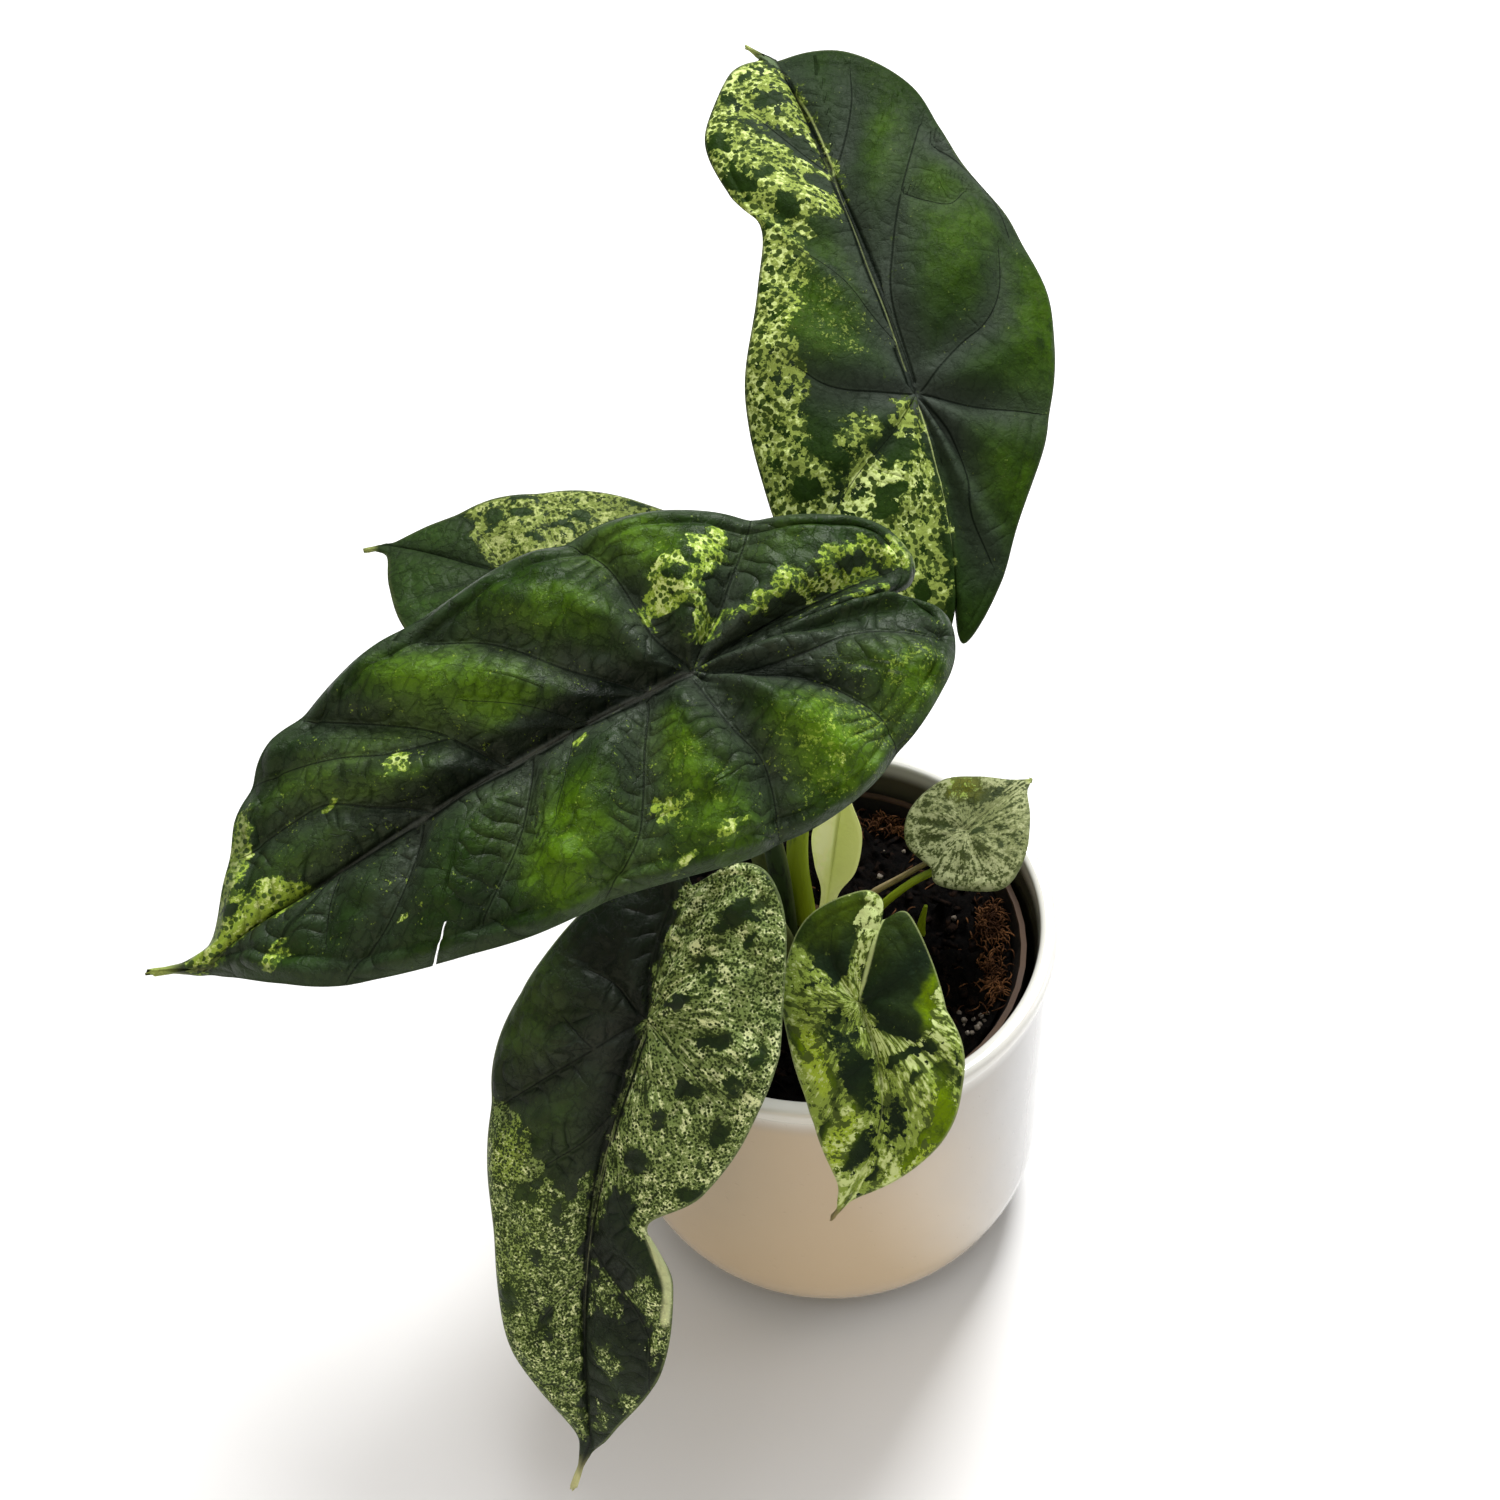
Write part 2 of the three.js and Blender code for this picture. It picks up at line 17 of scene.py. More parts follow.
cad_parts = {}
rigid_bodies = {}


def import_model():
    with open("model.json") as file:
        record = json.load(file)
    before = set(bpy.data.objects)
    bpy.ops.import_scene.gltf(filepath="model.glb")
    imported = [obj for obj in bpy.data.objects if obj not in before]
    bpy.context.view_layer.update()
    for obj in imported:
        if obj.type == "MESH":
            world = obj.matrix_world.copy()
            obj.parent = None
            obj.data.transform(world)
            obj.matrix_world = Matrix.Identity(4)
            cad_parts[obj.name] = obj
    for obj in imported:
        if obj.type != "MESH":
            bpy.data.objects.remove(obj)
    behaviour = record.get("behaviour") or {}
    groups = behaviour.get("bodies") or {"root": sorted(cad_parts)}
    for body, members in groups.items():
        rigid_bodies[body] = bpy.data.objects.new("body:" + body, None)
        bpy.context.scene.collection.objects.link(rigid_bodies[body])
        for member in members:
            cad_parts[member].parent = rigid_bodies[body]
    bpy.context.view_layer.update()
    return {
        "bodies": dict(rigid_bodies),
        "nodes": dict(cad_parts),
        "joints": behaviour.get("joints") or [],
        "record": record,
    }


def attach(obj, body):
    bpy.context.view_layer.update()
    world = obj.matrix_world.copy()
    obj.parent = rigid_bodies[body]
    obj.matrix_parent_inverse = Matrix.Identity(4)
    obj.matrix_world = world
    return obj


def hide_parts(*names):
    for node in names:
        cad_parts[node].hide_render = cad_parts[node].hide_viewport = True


Array = np.ndarray
Colour = tuple[float, float, float]
Point = tuple[float, float, float]
Place = tuple[float, float]

LOG = logging.getLogger("alocasia")
MM = 0.001
BODY = "root"
CLEARANCE = 0.35
BLADE_THICKNESS = 0.9
VEIN_BOW = 0.1
NECK_HALF_WIDTH = 1.3
UV_SCALE = 100.0
FAR = 1e3
FINE_STEPS = 400
FULL_PANEL = 20.0
KEEL = 0.9
LONE_VEIN = 40.0
MIDRIB, SIDE_VEIN = 1.1, 0.36
MIDRIB_SHADE, VEIN_SHADE = 4.6, 3.4
VEIN_TAPER = 0.55
VEIN_MAP_STEP = 37.0
SLIT_GAPE = 0.3
WANDER = 0.9


class Slot(Enum):
    """The finishes that the record names."""

    GLAZE = "glaze"
    PLASTIC = "nursery_plastic"
    SOIL = "soil"
    CORM = "corm"
    BLADE = "blade"
    STALK = "stalk"
    CREAM = "cream_leaf"


# Small numeric helpers


def smooth(value: Array, low: float, high: float) -> Array:
    """Eases from 0 at low to 1 at high, by 3t^2 - 2t^3.

    Args:
        value: What is eased.
        low: Where the result is 0.
        high: Where the result is 1.

    Returns:
        An array like value.
    """
    t = np.clip((value - low) / (high - low), 0.0, 1.0)
    return t * t * (3.0 - 2.0 * t)


def hump(distance: Array, width: Array | float) -> Array:
    """A bell round nought: exp(-(distance / width)^2)."""
    return np.exp(-((distance / width) ** 2))


def ripples(x: Array, y: Array, length: float, seed: int, waves: int = 14) -> Array:
    """Even random ripples: the mean of plane waves with random directions, lengths and phases.

    Args:
        x: First coordinate.
        y: Second coordinate.
        length: Typical distance between two crests, in the units of x and y.
        seed: Seed of the random draw.
        waves: Number of plane waves.

    Returns:
        Values of about -1 to 1.
    """
    rng = np.random.default_rng(seed)
    angle = rng.uniform(0.0, 2.0 * np.pi, waves)
    pace = 2.0 * np.pi / (length * rng.uniform(0.6, 1.7, waves))
    phase = rng.uniform(0.0, 2.0 * np.pi, waves)
    turn = x[..., None] * pace * np.cos(angle) + y[..., None] * pace * np.sin(angle) + phase
    return np.sin(turn).sum(-1) / np.sqrt(waves)


def lengths(points: Array) -> Array:
    """How far along a line each of its points lies."""
    return np.concatenate([[0.0], np.cumsum(np.linalg.norm(np.diff(points, axis=0), axis=1))])


def through(points: Array, places: Array) -> Array:
    """A uniform Catmull-Rom curve through points, at places that count the points.

    Args:
        points: The points, one a row.
        places: Where on the curve, from 0 to the number of points less 1.

    Returns:
        One point a row for each place.
    """
    last = len(points) - 1
    start = np.clip(np.floor(places).astype(int), 0, last - 1)
    t = (places - start)[:, None]
    padded = np.vstack([2 * points[0] - points[1], points, 2 * points[-1] - points[-2]])
    a, b, c, d = padded[start], padded[start + 1], padded[start + 2], padded[start + 3]
    return 0.5 * (
        2 * b + (c - a) * t + (2 * a - 5 * b + 4 * c - d) * t**2 + (3 * b - a - 3 * c + d) * t**3
    )


def inside_depth(outline: tuple[float, ...], along: Array, out: Array) -> Array:
    """How deep inside a closed outline each place lies, negative outside it.

    The size is the distance to the nearest edge, and the sign comes from counting the edges that a
    ray crosses.

    Args:
        outline: Corners of the outline, two numbers each.
        along: First coordinate of the places.
        out: Second coordinate of the places.

    Returns:
        The depths, as an array like along.
    """
    here = np.array(outline, float).reshape(-1, 2)
    there = np.roll(here, -1, axis=0)
    edge = there - here
    place = np.stack([along.ravel(), out.ravel()], -1)[:, None, :]
    share = np.clip(((place - here) * edge).sum(-1) / (edge**2).sum(-1), 0.0, 1.0)
    gap = np.linalg.norm(place - here - share[..., None] * edge, axis=-1).min(-1)
    x, y = place[..., 0], place[..., 1]
    spans = (here[:, 1] > y) != (there[:, 1] > y)
    rise = np.where(np.abs(edge[:, 1]) < 1e-9, 1e-9, edge[:, 1])
    crossed = spans & (x < edge[:, 0] * (y - here[:, 1]) / rise + here[:, 0])
    within = crossed.sum(-1) % 2 == 1
    return np.where(within, gap, -gap).reshape(along.shape)


def nearest(line: Array, places: Array) -> tuple[Array, Array]:
    """How far places lie from a line, and how far along it they are nearest.

    Args:
        line: Points of the line.
        places: Places in the same plane.

    Returns:
        The distances, positive on the left of the line, and the lengths from its start.
    """
    edge = np.diff(line, axis=0)
    size = np.linalg.norm(edge, axis=1)
    start = lengths(line)[:-1]
    offset = places[:, None, :] - line[None, :-1]
    share = np.clip((offset * edge).sum(-1) / size**2, 0.0, 1.0)
    gap = np.linalg.norm(offset - share[..., None] * edge, axis=-1)
    best = gap.argmin(1)
    row = np.arange(len(places))
    chosen = offset[row, best]
    leftward = edge[best, 0] * chosen[:, 1] - edge[best, 1] * chosen[:, 0]
    side = np.where(leftward < 0, -1.0, 1.0)
    return side * gap[row, best], start[best] + share[row, best] * size[best]


# Meshes


@dataclass
class Shell:
    """A closed surface in millimetres, with values and maps on its points."""

    points: Array
    triangles: Array
    values: dict[str, Array] = field(default_factory=dict)
    maps: dict[str, Array] = field(default_factory=dict)

    def make(self, name: str) -> bpy.types.Object:
        """Makes the Blender object, smooth shaded, in metres.

        Args:
            name: Name of the piece.

        Returns:
            The new object, linked to the scene.
        """
        mesh = bpy.data.meshes.new(name)
        count = len(self.triangles)
        mesh.vertices.add(len(self.points))
        mesh.vertices.foreach_set("co", (self.points * MM).astype(np.float32).ravel())
        mesh.loops.add(3 * count)
        mesh.loops.foreach_set("vertex_index", self.triangles.astype(np.int32).ravel())
        mesh.polygons.add(count)
        mesh.polygons.foreach_set("loop_start", np.arange(0, 3 * count, 3, dtype=np.int32))
        mesh.update(calc_edges=True)
        mesh.validate()
        mesh.polygons.foreach_set("use_smooth", np.ones(len(mesh.polygons), bool))
        for label, value in self.values.items():
            made = mesh.attributes.new(label, "FLOAT", "POINT")
            made.data.foreach_set("value", value.astype(np.float32))
        corner = np.zeros(len(mesh.loops), np.int32)
        mesh.loops.foreach_get("vertex_index", corner)
        for label, places in self.maps.items():
            layer = mesh.uv_layers.new(name=label)
            layer.data.foreach_set("uv", places[corner].astype(np.float32).ravel())
        made = bpy.data.objects.new(name, mesh)
        bpy.context.scene.collection.objects.link(made)
        return made


def grid_triangles(rows: int, columns: int, ring: bool) -> Array:
    """Triangles of a grid whose points run row by row.

    Args:
        rows: Number of rows of points.
        columns: Number of points in a row.
        ring: Whether each row closes on itself.

    Returns:
        Point numbers, three to a triangle.
    """
    row = np.arange(rows - 1)[:, None]
    column = np.arange(columns if ring else columns - 1)[None, :]
    after = (column + 1) % columns
    a, b = row * columns + column, row * columns + after
    c, d = (row + 1) * columns + after, (row + 1) * columns + column
    return np.stack([np.stack([a, b, c], -1), np.stack([a, c, d], -1)], 2).reshape(-1, 3)


def weld(points: Array, triangles: Array) -> tuple[Array, Array]:
    """Joins points that lie within a micrometre, and drops triangles of no area.

    Args:
        points: The points.
        triangles: Point numbers, three to a triangle.

    Returns:
        The numbers of the points that stay, and the triangles between them.
    """
    _, first, joined = np.unique(
        np.round(points / MM).astype(np.int64), axis=0, return_index=True, return_inverse=True
    )
    kept = joined.reshape(-1)[triangles]
    a, b, c = kept.T
    return first, kept[(a != b) & (b != c) & (c != a)]


def copies(points: Array, faces: Array) -> Shell:
    """One shell of many bodies with the same faces.

    Args:
        points: Points of each body, a body a row.
        faces: Triangles of one body.

    Returns:
        The shell.
    """
    bodies, size = points.shape[:2]
    triangles = faces + size * np.arange(bodies)[:, None, None]
    return Shell(points.reshape(-1, 3), triangles.reshape(-1, 3))


def point_normals(points: Array, triangles: Array) -> Array:
    """Mean of the normals of the triangles round each point, weighted by their areas."""
    corners = points[triangles]
    across = np.cross(corners[:, 1] - corners[:, 0], corners[:, 2] - corners[:, 0])
    total = np.zeros_like(points)
    for corner in range(3):
        for axis in range(3):
            total[:, axis] += np.bincount(triangles[:, corner], across[:, axis], len(points))
    return total / np.maximum(np.linalg.norm(total, axis=1, keepdims=True), 1e-12)


def turned(profile: Array, sides: int, centre: Place = (0.0, 0.0)) -> Shell:
    """A turned body: the profile, from the axis to the axis, carried round the upright.

    Args:
        profile: Points as (radius, height), running up the outside.
        sides: Number of steps round.
        centre: Where the upright stands.

    Returns:
        The closed shell.
    """
    angle = 2.0 * np.pi * np.arange(sides) / sides
    x = centre[0] + profile[:, :1] * np.cos(angle)
    y = centre[1] + profile[:, :1] * np.sin(angle)
    z = np.broadcast_to(profile[:, 1:], x.shape)
    points = np.stack([x, y, z], -1).reshape(-1, 3)
    kept, triangles = weld(points, grid_triangles(len(profile), sides, True))
    return Shell(points[kept], triangles)


def arc(centre: Place, radii: Place, start: float, end: float, steps: int) -> Array:
    """Points on an ellipse from one angle to another, in degrees.

    Args:
        centre: Centre as (radius, height).
        radii: Half width and half height.
        start: First angle.
        end: Last angle.
        steps: Number of steps.

    Returns:
        Points as (radius, height).
    """
    angle = np.radians(np.linspace(start, end, steps + 1))
    return np.stack([centre[0] + radii[0] * np.cos(angle), centre[1] + radii[1] * np.sin(angle)], -1)


def tube(path: Array, radii: Array, sides: int, flat: float = 1.0) -> Shell:
    """A closed round body along a path, its frame carried on from step to step.

    Args:
        path: Points along the middle.
        radii: Radius at each point.
        sides: Number of sides.
        flat: Depth of the section as a share of its width.

    Returns:
        The closed shell, with a map of the place round and along it.
    """
    tangent = np.gradient(path, axis=0)
    tangent /= np.linalg.norm(tangent, axis=1, keepdims=True)
    across = np.cross(tangent[0], [0.31, 0.95, 0.05])
    frames = []
    for heading in tangent:
        across = across - heading * (across @ heading)
        across = across / np.linalg.norm(across)
        frames.append(across)
    normal = np.array(frames)
    binormal = np.cross(tangent, normal)
    angle = 2.0 * np.pi * np.arange(sides) / sides
    ring = (
        normal[:, None] * np.cos(angle)[None, :, None]
        + flat * binormal[:, None] * np.sin(angle)[None, :, None]
    )
    points = path[:, None] + radii[:, None, None] * ring
    start, end = (np.repeat(path[[row], None], sides, 1) for row in (0, -1))
    points = np.concatenate([start, points, end])
    run = lengths(path)
    run = np.concatenate([run[:1], run, run[-1:]])
    around = np.abs(angle / np.pi - 1.0)[None, :]
    places = np.stack(np.broadcast_arrays(around, run[:, None] / UV_SCALE), -1)
    kept, triangles = weld(points.reshape(-1, 3), grid_triangles(len(points), sides, True))
    return Shell(points.reshape(-1, 3)[kept], triangles, maps={"length": places.reshape(-1, 2)[kept]})


def eased_path(points: tuple[Point, ...], steps: int) -> Array:
    """A centripetal Catmull-Rom curve through points, in even steps of length.

    Each stretch is a Hermite curve whose end slopes are weighted by the square roots of the
    distances between the points.

    Args:
        points: The points that the curve passes.
        steps: Number of steps.

    Returns:
        The points of the curve.
    """
    knots = np.array(points, float)
    knots = np.vstack([2 * knots[0] - knots[1], knots, 2 * knots[-1] - knots[-2]])
    gap = np.sqrt(np.linalg.norm(np.diff(knots, axis=0), axis=1))
    t = np.linspace(0.0, 1.0, 40)[:, None]
    stretches = []
    for i in range(1, len(knots) - 2):
        p0, p1, p2, p3 = knots[i - 1 : i + 3]
        g0, g1, g2 = gap[i - 1 : i + 2]
        leave = ((p1 - p0) / g0 - (p2 - p0) / (g0 + g1) + (p2 - p1) / g1) * g1
        arrive = ((p2 - p1) / g1 - (p3 - p1) / (g1 + g2) + (p3 - p2) / g2) * g1
        bend = 2 * p1 - 2 * p2 + leave + arrive
        stretches.append(p1 + leave * t + (3 * p2 - 3 * p1 - 2 * leave - arrive) * t**2 + bend * t**3)
    dense = np.vstack(stretches)
    run = lengths(dense)
    even = np.linspace(0.0, run[-1], steps + 1)
    return np.stack([np.interp(even, run, dense[:, axis]) for axis in range(3)], -1)


# Shader maths


class Signal:
    """A shader socket that takes part in Python expressions: each operator adds a Math node."""

    def __init__(self, shader: "Shader", socket: bpy.types.NodeSocket) -> None:
        """Wraps the socket of a shader."""
        self.shader = shader
        self.socket = socket

    def __add__(self, other: "Signal | float") -> "Signal":
        """The sum."""
        return self.shader.maths("ADD", self, other)

    __radd__ = __add__

    def __sub__(self, other: "Signal | float") -> "Signal":
        """The difference."""
        return self.shader.maths("SUBTRACT", self, other)

    def __rsub__(self, other: "Signal | float") -> "Signal":
        """The difference, turned round."""
        return self.shader.maths("SUBTRACT", other, self)

    def __mul__(self, other: "Signal | float") -> "Signal":
        """The product."""
        return self.shader.maths("MULTIPLY", self, other)

    __rmul__ = __mul__

    def __truediv__(self, other: "Signal | float") -> "Signal":
        """The quotient."""
        return self.shader.maths("DIVIDE", self, other)

    def __pow__(self, other: float) -> "Signal":
        """The power."""
        return self.shader.maths("POWER", self, other)

    def __abs__(self) -> "Signal":
        """The size without its sign."""
        return self.shader.maths("ABSOLUTE", self, 0.0)

    def clamped(self) -> "Signal":
        """The value kept within 0 and 1."""
        return self.shader.maths("MAXIMUM", self.shader.maths("MINIMUM", self, 1.0), 0.0)

    def eased(self, low: float, high: "Signal | float") -> "Signal":
        """Eases from 0 at low to 1 at high."""
        inputs = {"Value": self, "From Min": low, "From Max": high}
        made = self.shader.node("ShaderNodeMapRange", {"interpolation_type": "SMOOTHSTEP"}, inputs)
        return Signal(self.shader, made.outputs[0])

    def part(self, axis: int) -> "Signal":
        """One coordinate of a vector."""
        return Signal(self.shader, self.shader.node("ShaderNodeSeparateXYZ", {}, {0: self}).outputs[axis])


class Shader:
    """One material and the node tree behind it."""

    def __init__(self, name: str) -> None:
        """Starts an empty material of that name."""
        self.material = bpy.data.materials.new(name)
        self.material.use_nodes = True
        self.tree = self.material.node_tree
        self.tree.nodes.clear()

    def node(self, kind: str, settings: dict[str, Any], inputs: dict[Any, Any]) -> bpy.types.Node:
        """Adds a node of any type.

        Args:
            kind: Type of the node.
            settings: Its own settings, which are set first.
            inputs: Values or links of its sockets, by name or number.

        Returns:
            The new node.
        """
        made = self.tree.nodes.new(kind)
        for label, value in settings.items():
            setattr(made, label, value)
        for key, value in inputs.items():
            if isinstance(value, Signal):
                self.tree.links.new(value.socket, made.inputs[key])
            else:
                made.inputs[key].default_value = value
        return made

    def maths(self, operation: str, a: Signal | float, b: Signal | float) -> Signal:
        """A Math node on two numbers."""
        made = self.node("ShaderNodeMath", {"operation": operation}, {0: a, 1: b})
        return Signal(self, made.outputs[0])

    def vector(self, operation: str, a: Signal | Point, b: Signal | Point) -> Signal:
        """A Vector Math node on two vectors."""
        made = self.node("ShaderNodeVectorMath", {"operation": operation}, {0: a, 1: b})
        return Signal(self, made.outputs[0])

    def length(self, vector: Signal) -> Signal:
        """The length of a vector."""
        made = self.node("ShaderNodeVectorMath", {"operation": "LENGTH"}, {0: vector})
        return Signal(self, made.outputs["Value"])

    def position(self) -> Signal:
        """The place on the piece, in metres."""
        return Signal(self, self.node("ShaderNodeTexCoord", {}, {}).outputs["Object"])

    def map(self, label: str) -> Signal:
        """The place on one of the piece's own maps."""
        return Signal(self, self.node("ShaderNodeUVMap", {"uv_map": label}, {}).outputs[0])

    def value(self, label: str) -> Signal:
        """A value kept on the piece's points."""
        made = self.node("ShaderNodeAttribute", {"attribute_name": label}, {})
        return Signal(self, made.outputs["Fac"])

    def noise(self, where: Signal, scale: float, detail: float = 3.0, rough: float = 0.55) -> Signal:
        """Fractal noise of about 0 to 1 round one half."""
        inputs = {"Vector": where, "Scale": scale, "Detail": detail, "Roughness": rough}
        return Signal(self, self.node("ShaderNodeTexNoise", {}, inputs).outputs[0])

    def cells(self, where: Signal, scale: float, feature: str = "F1") -> Signal:
        """Distance to the middle of random cells, or to their seams, in parts of a cell."""
        made = self.node("ShaderNodeTexVoronoi", {"feature": feature}, {"Vector": where, "Scale": scale})
        return Signal(self, made.outputs["Distance"])

    def mix(self, share: Signal | float, a: Signal | Colour, b: Signal | Colour) -> Signal:
        """A colour between a and b."""
        first, second = (tone if isinstance(tone, Signal) else (*tone, 1.0) for tone in (a, b))
        made = self.node("ShaderNodeMix", {"data_type": "RGBA"}, {0: share, 6: first, 7: second})
        return Signal(self, made.outputs[2])

    def bump(self, height: Signal, depth: float, strength: float = 1.0) -> Signal:
        """A normal from a height, where depth is the real height of 1, in metres."""
        inputs = {"Height": height, "Distance": depth, "Strength": strength}
        return Signal(self, self.node("ShaderNodeBump", {}, inputs).outputs[0])

    def finish(self, inputs: dict[str, Any]) -> bpy.types.Material:
        """Ends the tree in a Principled shader with those inputs and returns the material."""
        made = self.node("ShaderNodeBsdfPrincipled", {}, inputs)
        out = self.node("ShaderNodeOutputMaterial", {}, {})
        self.tree.links.new(made.outputs[0], out.inputs["Surface"])
        return self.material


# Finishes


@dataclass(frozen=True)
class BladeFinish:
    """The colours of one leaf blade, and how its marbling breaks up.

    The marbling goes from half over tint to pale. More cover fills it, more chalk keeps pale for its
    peaks, lace pricks it with pores, blotch tears it, and rays draw it out from the stalk as far as
    spread. Grain and pitch, the distance between two pleats, are in millimetres. Lit is the strength
    of an emission that paints in the light passing through a thin blade, and net is the strength of
    the finest veins.
    """

    name: str
    vein: Colour
    # Painted shade and grey painted sheen beside the veins.
    shade_and_sheen: Colour
    flesh: Colour
    glow: Colour
    half: Colour
    tint: Colour
    pale: Colour
    rim: Colour
    spike: Colour = (0.36, 0.42, 0.13)
    under: Colour = (0.1, 0.14, 0.07)
    grain: float = 1.6
    cover: float = 0.6
    ragged: float = 1.7
    gloss: float = 0.4
    pleated: float = 0.6
    pitch: float = 4.8
    veined: float = 0.6
    ridged: float = 1.0
    # Dark colour of the fine sunken veins, and of painted shade in creases, gutters and shaded spots.
    crease_and_shade: Colour = (0.003, 0.006, 0.003)
    lime: Colour = (0.3, 0.42, 0.05)
    haze: float = 0.45
    crumbs: float = 0.9
    drift: float = 0.3
    rays: float = 0.4
    lit: float = 0.0
    sheen: float = 0.1
    lace: float = 0.06
    blotch: float = 0.0
    chalk: float = 0.04
    spread: float = 30.0
    net: float = 0.3

    def material(self) -> bpy.types.Material:
        """A dark leathery blade with a sunken net of fine veins, marbled where its mint is high.

        Returns:
            The material.
        """
        shader = Shader(self.name)
        place = shader.position()
        broad = shader.noise(place, 45.0, 3.0)
        ragged = shader.noise(place, 210.0, 6.0, 0.7)
        fine = shader.noise(place, 1000.0 / self.grain, 4.0, 0.6)
        bent = shader.vector("ADD", place, (ragged - 0.5) * 0.007)
        seams = 1.0 - shader.cells(bent, 290.0, "DISTANCE_TO_EDGE").eased(0.015, 0.11)
        skin = self.dark_skin(shader, broad, ragged, fine)
        skin = shader.mix(seams * self.net * (1.0 - shader.value("under")), skin, self.crease_and_shade)
        skin = self.marbled_skin(shader, skin, broad, ragged, fine)
        skin = shader.mix(shader.value("line"), skin, self.pale)
        skin = shader.mix(shader.value("rim"), skin, self.rim)
        skin = shader.mix(shader.value("spike"), skin, self.spike)

        relief, skin = self.relief(shader, skin)
        pores = shader.noise(place, 1500.0, 2.0, 0.5)
        leather = shader.noise(place, 800.0, 4.0, 0.65)
        height = relief + leather * 0.34 + pores * 0.08 - seams * self.net * 0.35
        return shader.finish({
            "Base Color": skin,
            "Roughness": self.gloss + (ragged - 0.5) * 0.3 + (broad - 0.5) * 0.15,
            "Normal": shader.bump(height, MM, 0.9),
            "Specular IOR Level": self.sheen,
            # The emission paints in light passing through the blade.
            "Emission Color": skin,
            "Emission Strength": self.lit,
        })

    def relief(self, shader: Shader, skin: Signal) -> tuple[Signal, Signal]:
        """The veins, the creases beside them, and small pillows between cross veins.

        A broad vein is a ridge between two gutters, a thin one a single gutter. The gutters and the
        creases between the pillows are darkened with painted shade. The pillows repeat every few
        millimetres along a vein, |x - round(x)| from crease to crease, and fade out into the panel.

        Args:
            shader: The shader.
            skin: Colour of the blade.

        Returns:
            The height in millimetres, and the colour with the painted shade of the creases and gutters in
            it.
        """
        ribs = shader.map("veins")
        reach = ribs.part(1) * UV_SCALE
        breadth, apart = shader.value("breadth"), shader.value("apart")
        clear = apart.eased(0.1, 0.7) * (1.0 - shader.value("spike"))
        away = abs(shader.value("side")) / breadth
        ridge = (1.0 - away.eased(0.5, 1.1)) * clear
        broad = breadth.eased(0.35, 1.0)
        beside = abs(away - broad * 1.45)
        gutter = (1.0 - beside.eased(0.0, 1.5 - broad * 0.6)) * clear
        flank = shader.maths("SIGN", shader.value("side"), 0.0)
        warp = shader.noise(shader.position(), 70.0, 1.5, 0.5)
        turn = ribs.part(0) * (UV_SCALE / self.pitch) + warp * 3.6 + reach * 0.05 + flank * 0.3
        pillow = shader.maths("PINGPONG", turn, 0.5) * 2.0
        crease_and_shade = (1.0 - pillow) ** 4.0
        near = reach.eased(0.4, 1.4) * (1.0 - (reach + (warp - 0.5) * 34.0).eased(3.0, 10.0))
        near = near * apart.eased(0.5, 2.5) * self.pleated
        # Painted shade in the creases between the pillows and in the gutters beside the veins.
        skin = shader.mix(crease_and_shade * near * 0.38, skin, self.crease_and_shade)
        skin = shader.mix(gutter * (0.85 + broad * 0.15) * self.veined, skin, self.crease_and_shade)
        skin = shader.mix(ridge * broad * 0.8 * self.ridged, skin, self.vein)
        height = (ridge * broad * 0.45 - gutter * (0.7 - broad * 0.4)) * breadth * self.ridged
        height = height + (pillow * (2.0 - pillow) * 0.55 - crease_and_shade * 0.15) * near
        return height, skin

    def dark_skin(self, shader: Shader, broad: Signal, ragged: Signal, fine: Signal) -> Signal:
        """The dark tissue: brighter in the middle of the cells, with painted shade and sheen beside the
        veins.

        Args:
            shader: The shader.
            broad: Slow noise over the piece.
            ragged: Middling noise over the piece.
            fine: Fine noise over the piece.

        Returns:
            The colour, with the paler underside mixed in.
        """
        lift = (shader.value("glow") * ((broad - 0.5) * 1.7 + (ragged - 0.5) * 2.2 + 0.64)).clamped()
        skin = shader.mix(lift, self.flesh, self.glow)
        skin = shader.mix(fine.eased(0.5, 0.72) * lift * 0.5, skin, self.half)
        # Painted shade and sheen beside the veins.
        skin = shader.mix(shader.value("shade_and_sheen") * (1.2 - broad * 0.8), skin, self.shade_and_sheen)
        # Spots of painted shade.
        skin = shader.mix(shader.value("painted_shade") * 0.85, skin, self.crease_and_shade)
        return shader.mix(shader.value("under"), skin, self.under)

    def marbled_skin(
        self, shader: Shader, skin: Signal, broad: Signal, ragged: Signal, fine: Signal
    ) -> Signal:
        """Lays the marbling over the dark tissue.

        A ragged noise shifts its edge, and blots tear it. Inside, the fine and the middling noise
        leave dark holes and set three tones, with small round pores. Streaks run out from the head
        of the stalk and beside the veins.

        Args:
            shader: The shader.
            skin: Colour of the dark tissue.
            broad: Slow noise over the piece.
            ragged: Noise of the edges.
            fine: Fine noise over the piece.

        Returns:
            The colour.
        """
        place = shader.position()
        fan, ribs = shader.map("fan"), shader.map("veins")
        reach = ribs.part(1) * UV_SCALE
        radius = fan.part(1) * UV_SCALE
        mint = shader.value("mint")
        edge = mint + (ragged - 0.5) * self.ragged + (fine - 0.5) * self.crumbs
        blots = shader.noise(place, 380.0, 4.0, 0.6)
        edge = edge - blots.eased(0.53, 0.62) * self.blotch
        middle = shader.noise(place, 300.0 / self.grain, 2.0, 0.5)
        spread = shader.vector("MULTIPLY", fan, (18.0, 14.0, 0.0))
        spread = shader.vector("ADD", spread, shader.vector("MULTIPLY", place, (90.0, 90.0, 90.0)))
        streak = shader.noise(spread, 2.0, 5.0, 0.66)
        beside = shader.vector("MULTIPLY", ribs, (UV_SCALE / 7.0, UV_SCALE / 0.8, 0.0))
        thread = shader.noise(beside, 1.0, 3.0, 0.6)

